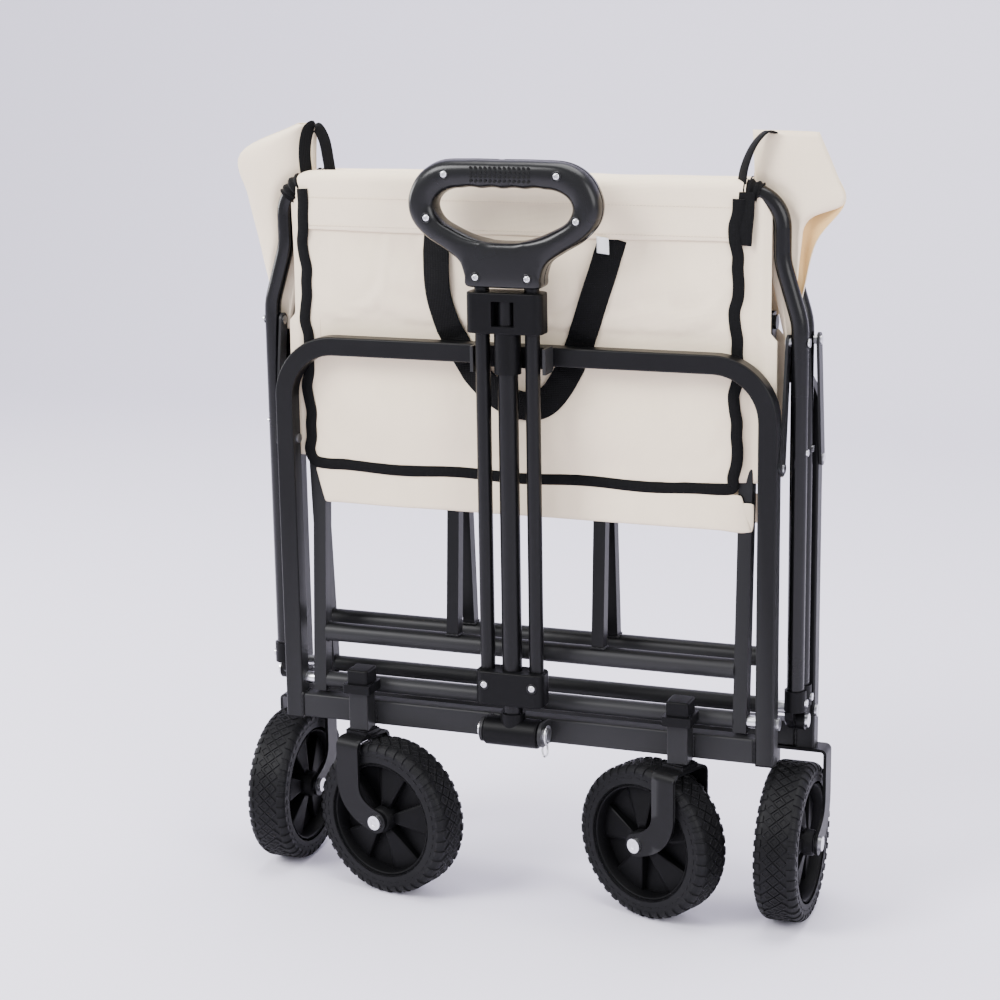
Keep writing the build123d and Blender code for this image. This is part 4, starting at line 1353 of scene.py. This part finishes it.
def drape(obj: bpy.types.Object, pinned: set[int], cap: float, outward: int, frames: int = 18) -> None:
    """Let a sheet hang as cloth, and keep the result in its mesh.

    Args:
        obj: The sheet.
        pinned: Vertices that are sewn in place.
        cap: How far a point may move.
        outward: Sign of the Y direction that leads out of the bag.
        frames: Length of the simulation.
    """
    scene = bpy.context.scene
    group = obj.vertex_groups.new(name="sewn")
    group.add(sorted(pinned), 1.0, "REPLACE")
    start = [v.co.copy() for v in obj.data.vertices]
    mod = obj.modifiers.new("cloth", "CLOTH")
    cloth = mod.settings
    cloth.quality = 6
    cloth.mass = 0.25
    cloth.tension_stiffness = 25
    cloth.compression_stiffness = 20
    cloth.bending_stiffness = 1.2
    cloth.shrink_min = -0.018
    cloth.vertex_group_mass = "sewn"
    mod.collision_settings.use_collision = False
    mod.point_cache.frame_start = 1
    mod.point_cache.frame_end = frames
    for frame in range(1, frames + 1):
        scene.frame_set(frame)
    graph = bpy.context.evaluated_depsgraph_get()
    moved = [v.co.copy() for v in obj.evaluated_get(graph).data.vertices]
    obj.modifiers.remove(mod)
    for v, a, b in zip(obj.data.vertices, start, moved):
        shift = b - a
        if shift.y * outward < 0:
            shift.y *= -0.5
        if shift.length > cap:
            shift *= cap / shift.length
        v.co = a + shift
    obj.vertex_groups.remove(group)
    scene.frame_set(1)


@dataclass
class Bag:
    """Cloth bag in its folded state: end panels, rims, bindings, floor, sides, loop and label."""

    middle_y: float = MIDDLE_Y
    bar_depth: float = 0.0105
    rim_z: float = 0.690
    sleeve: float = 0.0097
    half_width: float = 0.212
    binding: float = 0.011
    hem_z: float = 0.6455
    foot_z: float = 0.418
    sag_left: float = 0.0150
    hoop_half_width: float = 0.262
    hoop_top_half_width: float = 0.245
    hoop_corner: float = 0.032

    def reach(self, end: End, side: Side) -> float:
        """Distance from the middle to an end panel's edge, which sags to the left in front.

        Args:
            end: Which end.
            side: Which edge.

        Returns:
            The distance.
        """
        return self.half_width + (self.sag_left if end is End.FRONT and side is Side.LEFT else 0.0)

    def bar_drop(self, x: float) -> float:
        """How far a tall hoop's corner lies below its top bar.

        Args:
            x: Place across.

        Returns:
            The drop.
        """
        corner = self.hoop_corner
        straight = self.hoop_top_half_width - corner
        past = max(0.0, min(abs(x) - straight, corner - 0.001))
        return corner - (corner ** 2 - past ** 2) ** 0.5

    def outward(self, end: End, amount: float) -> float:
        """Y of a place in front of an end panel's face.

        Args:
            end: Which end.
            amount: Distance outside the face.

        Returns:
            The Y value.
        """
        return self.middle_y + end.value * (self.bar_depth + self.sleeve - 0.0008 + amount)

    def puff(self, end: End, x: float, z: float) -> float:
        """How far an end panel stands out, which is nothing behind the frame's top bar.

        Args:
            end: Which end.
            x: Place across.
            z: Height.

        Returns:
            Distance outwards.
        """
        side = max(0.0, 1 - (abs(x) / 0.2) ** 4)
        above = sin(pi * (z - 0.558) / 0.083) ** 2 if 0.558 < z < 0.641 else 0.0
        below = sin(pi * (z - 0.424) / 0.091) ** 1.5 if 0.424 < z < 0.515 else 0.0
        waves = 0.5 + 0.5 * wrinkle(x, z, 0.07, 3.1 + end.value)
        return side * (above * (0.0025 + 0.0035 * waves) + below * (0.003 + 0.004 * waves))

    def build(self) -> None:
        """Make every cloth piece."""
        for end in End:
            self.panel(end)
            self.rim(end)
            self.edging(end)
            self.floor_fold(end)
            self.floor_pad(end)
        for side in Side:
            self.wing(side)
            self.gusset(side)
            self.side_strap(side)
            self.cuff(side)
        self.loop()
        self.label()

    def panel(self, end: End) -> None:
        """Face of one end of the bag.

        Args:
            end: Which end.
        """
        columns, rows_up = 84, 56
        low = -self.reach(end, Side.LEFT) + self.binding - 0.003
        high = self.reach(end, Side.RIGHT) - self.binding + 0.003
        rows = []
        for j in range(rows_up + 1):
            z = self.foot_z - 0.002 + (0.652 - self.foot_z) * j / rows_up
            row = []
            for i in range(columns + 1):
                x = low + (high - low) * i / columns
                row.append(Vector((x, self.outward(end, -0.0008 + self.puff(end, x, z)), z)))
            rows.append(row)
        shape = Shape()
        shape.grid(rows)
        panel = shape.make(f"{end.word}_end_panel", CANVAS, f"bag_{end.word}")
        sewn = set()
        for v in panel.data.vertices:
            beside = v.co.x < low + 0.004 or v.co.x > high - 0.004
            ends = v.co.z > 0.648 or v.co.z < self.foot_z + 0.002
            behind_bar = 0.512 < v.co.z < 0.560
            if beside or ends or behind_bar:
                sewn.add(v.index)
        drape(panel, sewn, 0.0026, end.value)
        thicken(panel, 0.0009)
        soften(panel)
        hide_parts(f"{end.word}_bag_panel")

    def rim(self, end: End) -> None:
        """Sleeve of cloth over a tall hoop's top bar, with its hem and two rows of stitches.

        Args:
            end: Which end.
        """
        bar_y = self.middle_y + end.value * self.bar_depth
        out = end.value
        profile = [(-0.0088, 0.650), (-0.0096, 0.672)]
        over_bar = 0.0099
        profile += [(-over_bar * cos(a), self.rim_z + over_bar * sin(a))
                    for a in (pi * k / 14 for k in range(15))]
        profile += [(0.0108, 0.672), (0.0112, 0.658), (0.0112, 0.6475), (0.0108, self.hem_z)]
        rows = []
        columns = 90
        low, high = -self.reach(end, Side.LEFT) - 0.0015, self.reach(end, Side.RIGHT) + 0.0015
        for i in range(columns + 1):
            x = low + (high - low) * i / columns
            row = []
            for y, z in profile:
                z -= self.bar_drop(x)
                loose = wrinkle(x, z, 0.06, 8.2 + out) * 0.0009 + 0.0006
                over = Vector((0, y, z - self.rim_z))
                push = over.normalized() * max(0.0, loose)
                drop = -0.0012 * (0.5 + 0.5 * sin(x * 31 + out)) if z < 0.66 and y > 0 else 0.0
                row.append(Vector((x, bar_y + out * (y + push.y * 0.9), z + max(push.z, 0) + drop)))
            rows.append(row)
        shape = Shape()
        shape.grid(rows)
        rim = shape.make(f"{end.word}_rim_sleeve", CANVAS, f"bag_{end.word}")
        thicken(rim, 0.0010)
        soften(rim)
        stitches = Shape()
        for z, pitch in ((0.676, 0.0034), (0.6492, 0.0034)):
            for k in range(int((high - low) / pitch)):
                x = low + pitch * (k + 0.5)
                loose = wrinkle(x, z, 0.06, 8.2 + out) * 0.0009 + 0.0006
                y = bar_y + out * (0.0108 + max(0.0, loose) * 0.9 + 0.0007)
                stitches.tube([Vector((x - pitch * 0.34, y, z)), Vector((x, y + out * 0.00012, z)),
                               Vector((x + pitch * 0.34, y, z))], 0.00022, 5)
        stitches.make(f"{end.word}_rim_stitches", THREAD, f"bag_{end.word}")

    def edging(self, end: End) -> None:
        """Ribbed binding down both edges and along the foot.

        Args:
            end: Which end.
        """
        mid_left = self.reach(end, Side.LEFT) - self.binding / 2
        mid = self.reach(end, Side.RIGHT) - self.binding / 2
        points = []
        top, foot = 0.684, self.foot_z - 0.001
        for k in range(21):
            z = top + (foot + 0.012 - top) * k / 20
            sway = 0.0016 * sin(k * 1.15) + 0.0009 * sin(k * 2.3 + 1)
            points.append((-mid_left + sway, z))
        points += [(-mid_left + 0.004, foot + 0.002)]
        for k in range(1, 24):
            x = -mid_left + (mid + mid_left) * k / 24
            points.append((x, foot - 0.0012 + 0.0012 * sin(k * 0.9)))
        points += [(mid - 0.004, foot + 0.002)]
        for k in range(20, -1, -1):
            z = top + (foot + 0.012 - top) * k / 20
            sway = 0.0017 * sin(k * 1.05 + 2) + 0.001 * sin(k * 2.1)
            points.append((mid + sway - 0.0008, z))
        over = [0.0026 * min(1.0, max(0.0, (z - 0.636) / 0.01)) for x, z in points]
        path = smooth_path([(x, self.outward(end, 0.0006 + o), z) for (x, z), o in zip(points, over)], 8)
        path = resample(path, 0.0009)
        shape = Shape()

        def across(t: float) -> Vector:
            """Direction across the band, which stays in the panel's plane."""
            i = min(int(t * (len(path) - 1)), len(path) - 2)
            along = path[i + 1] - path[i]
            return Vector((along.z, 0, -along.x))

        ribbon(shape, path, across, self.binding, 0.0026, 0.00022)
        piece = shape.make(f"{end.word}_binding", BINDING, f"bag_{end.word}")
        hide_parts(f"{end.word}_bag_binding")

    def floor_fold(self, end: End) -> None:
        """Loose end of the bag's floor, which hangs below the binding.

        Args:
            end: Which end.
        """
        rows = []
        columns = 60
        for j in range(19):
            t = j / 18
            row = []
            for i in range(columns + 1):
                u = i / columns
                left = 0.009 - self.reach(end, Side.LEFT) + 0.016 * min(t * 1.1, 1.0)
                right = 0.2120 + 0.012 * min(t * 1.4, 1.0)
                x = left + (right - left) * u
                drop = 0.0355 * min(t / 0.6, 1.0) if t < 0.6 else 0.0355 * (1 - (t - 0.6) / 0.4 * 0.8)
                lean = 0.0006 + 0.0016 * sin(pi * min(t / 0.6, 1.0) / 2)
                lean += 0.0011 * wrinkle(x, t * 0.04, 0.05, 5.5)
                depth = lean if t < 0.6 else -0.0022 + 0.0030 * (1 - (t - 0.6) / 0.4)
                if x > 0.200:
                    depth = max(depth, 0.0016 if t < 0.6 else 0.0014)
                roll = 0.0012 * (0.5 + 0.5 * wrinkle(x, 0, 0.09, 2.2))
                row.append(Vector((x, self.outward(end, depth), self.foot_z - 0.0045 - drop - roll)))
            rows.append(row)
        shape = Shape()
        shape.grid(rows)
        fold = shape.make(f"{end.word}_floor_end", CANVAS, f"bag_{end.word}")
        thicken(fold, 0.0009)
        soften(fold)

    def floor_pad(self, end: End) -> None:
        """Quilted half of the bag's floor, which lies along its floor half.

        Args:
            end: Which end.
        """
        pivot, along, face = floor_line(end)
        half, start, stop = 0.196, 0.191, 0.3735
        shape = Shape()
        layers = []
        for way in (0, 1):
            rows = []
            for j in range(25):
                s = start + (stop - start) * j / 24
                row = []
                for i in range(57):
                    x = -half + 2 * half * i / 56
                    edge = min(1.0, (half - abs(x)) / 0.01)
                    edge *= min(1.0, (s - start) / 0.01, (stop - s) / 0.01)
                    seam = abs(sin(pi * (x + half) / (half / 2))) ** 0.4
                    puff = 0.0011 * edge * (0.35 + 0.65 * seam)
                    level = 0.0062 + 0.0007 + (puff if way else -0.0003 * edge)
                    row.append(pivot + along * s + Vector((x, 0, 0)) + face * level)
                rows.append(row)
            layers.append(rows)
            shape.grid(rows)
        for i in (0, -1):
            shape.grid([[row[i] for row in rows] for rows in layers])
        for i in (0, -1):
            shape.grid([rows[i] for rows in layers])
        pad = shape.make(f"{end.word}_floor_pad", CANVAS, "")
        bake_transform(pad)
        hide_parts(f"{end.word}_floor_mat")

    def room(self, x: float, z: float) -> float:
        """How far a wing's layer may stand from the middle plane beside the tall hoops' tubes.

        Args:
            x: Place across, as a positive number.
            z: Height.

        Returns:
            Distance that keeps clear of the tubes.
        """
        corner_z = self.rim_z - self.hoop_corner
        straight = self.hoop_top_half_width - self.hoop_corner
        if z > corner_z:
            gap = abs(((max(x, straight) - straight) ** 2 + (z - corner_z) ** 2) ** 0.5 - self.hoop_corner)
        else:
            lean = min(1.0, max(0.0, (z - 0.566) / 0.064))
            leg = self.hoop_half_width - (self.hoop_half_width - self.hoop_top_half_width) * lean
            gap = abs(x - leg)
        beside_tube, widest = 0.0011, 0.0125
        return beside_tube + min(widest, max(0.0, gap - 0.0105) * 0.75)

    def wing(self, side: Side) -> None:
        """Top of a side panel, folded flat and standing out past the hoops.

        Args:
            side: Which side.
        """
        left = side is Side.LEFT
        inner = [(0.2140, 0.7435), (0.2155, 0.715), (0.2170, 0.680), (0.2230, 0.645), (0.2350, 0.600),
                 (0.2480, 0.545)]
        if left:
            outer = [(0.2330, 0.7435), (0.2960, 0.7140), (0.2890, 0.672), (0.2790, 0.630), (0.2700, 0.590),
                     (0.2560, 0.545)]
        else:
            outer = [(0.2740, 0.7420), (0.2900, 0.7060), (0.2985, 0.6800), (0.2730, 0.6450),
                     (0.2620, 0.600), (0.2530, 0.560)]
        edge_in = smooth_path([(x, 0, z) for x, z in inner], 7)
        mouth = outer[:3] + [(0.2660, 0.6640), (0.2590, 0.6350), (0.2530, 0.560)]
        for end in End:
            open_edge = end is End.FRONT and not left
            edge_out = smooth_path([(x, 0, z) for x, z in (mouth if open_edge else outer)], 7)
            rows = []
            for a, b in zip(edge_in, edge_out):
                row = []
                for k in range(19):
                    u = k / 18
                    p = a.lerp(b, u)
                    bulge = 0.0115 * sin(pi * min(1.0, u * 0.62 + 0.02)) * (1 - u ** 5)
                    bulge *= 0.75 + 0.5 * wrinkle(p.x, p.z, 0.05, 1.3 + end.value + side.value * 2)
                    out = min(max(bulge, 0.0006), self.room(p.x, p.z))
                    if u == 1:
                        out = 0.0002
                    row.append(Vector((side.value * p.x, self.middle_y + end.value * out, p.z)))
                rows.append(row)
            shape = Shape()
            shape.grid(rows)
            layer = shape.make(f"side_{side.word}_wing_{end.word}", CANVAS, "")
            thicken(layer, 0.0007, end.value * 1.0)
            if end is End.FRONT:
                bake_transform(layer)
            else:
                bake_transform(layer)
            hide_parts(f"side_panel_{side.word}_{end.word}")
            if end is End.REAR and not left:
                # Golden sheet just inside the rear layer, only where the opening shows the fold's inside:
                # painted shade.
                inside = Shape()
                inward = Vector((0.0004, 0.0007, 0))
                inside.grid([[p - inward for p in row] for row in rows if row[-1].z < 0.700])
                painted_shade_sheet = inside.make("side_right_lining", FOLD_SHADE_CANVAS, "")
                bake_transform(painted_shade_sheet)

    def gusset(self, side: Side) -> None:
        """Lower part of a side panel, gathered between the end panels and the floor arms.

        Args:
            side: Which side.
        """
        for end in End:
            rows = []
            face = self.outward(end, -0.0004)
            for j in range(41):
                z = 0.424 + (0.688 - 0.424) * j / 40
                row = []
                for k in range(25):
                    u = k / 24
                    wide = 0.2360 if z > 0.56 else 0.2420
                    x = 0.2075 + (wide - 0.2075) * u
                    pleat = 0.5 - 0.5 * cos(u * pi * 3.0)
                    deep = 0.0024 * pleat + 0.0016 * u
                    sway = 0.0012 * wrinkle(u * 0.02, z, 0.045, 4.4 + side.value + end.value)
                    row.append(Vector((side.value * (x + sway * u), face - end.value * deep, z)))
                rows.append(row)
            shape = Shape()
            shape.grid(rows)
            piece = shape.make(f"side_{side.word}_gusset_{end.word}", CANVAS, "")
            thicken(piece, 0.0006)
            if end is End.FRONT:
                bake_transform(piece)
            else:
                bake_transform(piece)

    def side_strap(self, side: Side) -> None:
        """Black edge tape that loops up between the rim and the top of a wing.

        Args:
            side: Which side.
        """
        if side is Side.LEFT:
            points = [(0.2215, 0.0035, 0.690), (0.2225, 0.001, 0.716), (0.2190, 0.002, 0.737),
                      (0.2120, 0.0065, 0.7415),
                      (0.2050, 0.0085, 0.729), (0.2010, 0.0085, 0.708), (0.1990, 0.0085, 0.694)]
        else:
            points = [(0.2070, -0.0035, 0.690), (0.2110, -0.005, 0.712), (0.2190, -0.0045, 0.731),
                      (0.2290, -0.001, 0.7425), (0.2370, 0.004, 0.7415)]
        path = resample(smooth_path([(side.value * x, y, z) for x, y, z in points], 10), 0.0009)
        shape = Shape()
        turn = 0.9 if side is Side.LEFT else 0.55

        def across(t: float) -> Vector:
            """Direction across the tape, which twists a little on its way."""
            a = turn * (t - 0.3)
            return Vector((side.value * cos(a) * 0.8, -0.55 - 0.3 * t, 0.25 * sin(3 * t)))

        ribbon(shape, path, across, 0.0118, 0.0014, 0.00016)
        shape.make(f"side_{side.word}_edge_tape", BINDING, "bag_front")

    def cuff(self, side: Side) -> None:
        """Gathered black cuff where the rim sleeve ends on the tube.

        Args:
            side: Which side.
        """
        for end in End:
            bar_y = self.middle_y + end.value * self.bar_depth
            shape = Shape()
            start = self.reach(end, side) - 0.002
            stations = [start + k * 0.005 for k in range(4)]
            tube = smooth_path([(side.value * x, bar_y, self.rim_z - self.bar_drop(x)) for x in stations])
            path = resample(tube, 0.0007)
            shape.tube(path, lambda t: 0.0102 + 0.0010 * sin(t * 19) + 0.0006 * sin(t * 7), 20)
            if end is End.FRONT and side is Side.LEFT:
                shape.make(f"{end.word}_cuff_{side.word}", BINDING, f"bag_{end.word}")
                continue
            hang = [(0.2140, 0.0095, 0.690), (0.2140, 0.0112, 0.672), (0.2125, 0.0112, 0.655),
                    (0.2115, 0.0104, 0.642)]
            fall = smooth_path([(side.value * x, bar_y + end.value * y, z) for x, y, z in hang])
            drop = resample(fall, 0.0009)
            ribbon(shape, drop, lambda t: Vector((1, 0, 0.08 * sin(5 * t))), 0.0150, 0.0030, 0.0002)
            shape.make(f"{end.word}_cuff_{side.word}", BINDING, f"bag_{end.word}")

    def loop(self) -> None:
        """Carrying loop of webbing in front of the front panel."""
        places = [(-0.0840, 0.646), (-0.0835, 0.615), (-0.0800, 0.580), (-0.0690, 0.548), (-0.0480, 0.516),
                  (-0.0230, 0.4955), (0.0020, 0.4865), (0.0230, 0.4900), (0.0400, 0.510), (0.0560, 0.545),
                  (0.0690, 0.580), (0.0800, 0.612), (0.0890, 0.646)]
        path = []
        for p in resample(smooth_path([(x, 0, z) for x, z in places], 12), 0.0012):
            clear = min(1.0, max(0.0, (abs(p.z - 0.536) - 0.0105) / 0.010))
            clear *= min(1.0, max(0.0, (0.642 - p.z) / 0.012))
            stand = 0.0008 + self.puff(End.FRONT, p.x, p.z) + 0.0032 * clear
            path.append(Vector((p.x, self.outward(End.FRONT, stand), p.z)))

        def across(t: float) -> Vector:
            """Direction across the band, which stays nearly in the panel's plane."""
            i = min(int(t * (len(path) - 1)), len(path) - 2)
            along = path[i + 1] - path[i]
            return Vector((along.z, 0.12 * sin(t * 9) * along.length, -along.x))

        shape = Shape()
        ribbon(shape, path, across, 0.0268, 0.0011, 0.00012)
        piece = shape.make("carry_loop", WEBBING, "bag_front")
        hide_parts("webbing_loop")

    def label(self) -> None:
        """Small blank label sewn under the front hem."""
        rows = []
        for j in range(9):
            row = []
            for i in range(7):
                x = 0.0745 + 0.0115 * i / 6 + 0.0012 * j / 8
                z = 0.6475 - 0.0150 * j / 8 - 0.0015 * i / 6
                curl = 0.0022 * (j / 8) ** 2 + 0.0004 * sin(i)
                row.append(Vector((x, self.outward(End.FRONT, 0.0056 + curl), z)))
            rows.append(row)
        shape = Shape()
        shape.grid(rows)
        label = shape.make("sewn_label", LABEL, "bag_front")
        thicken(label, 0.0004)


def main() -> None:
    """Build everything around the frame, in order."""
    logging.basicConfig(level=logging.INFO, format="%(name)s: %(message)s")
    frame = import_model()
    nodes = frame["nodes"]
    Studio().build()
    Running().build(nodes)
    SteelFrame().build(nodes)
    Handle().build(nodes)
    Bag().build()


if __name__ == "__main__":
    main()
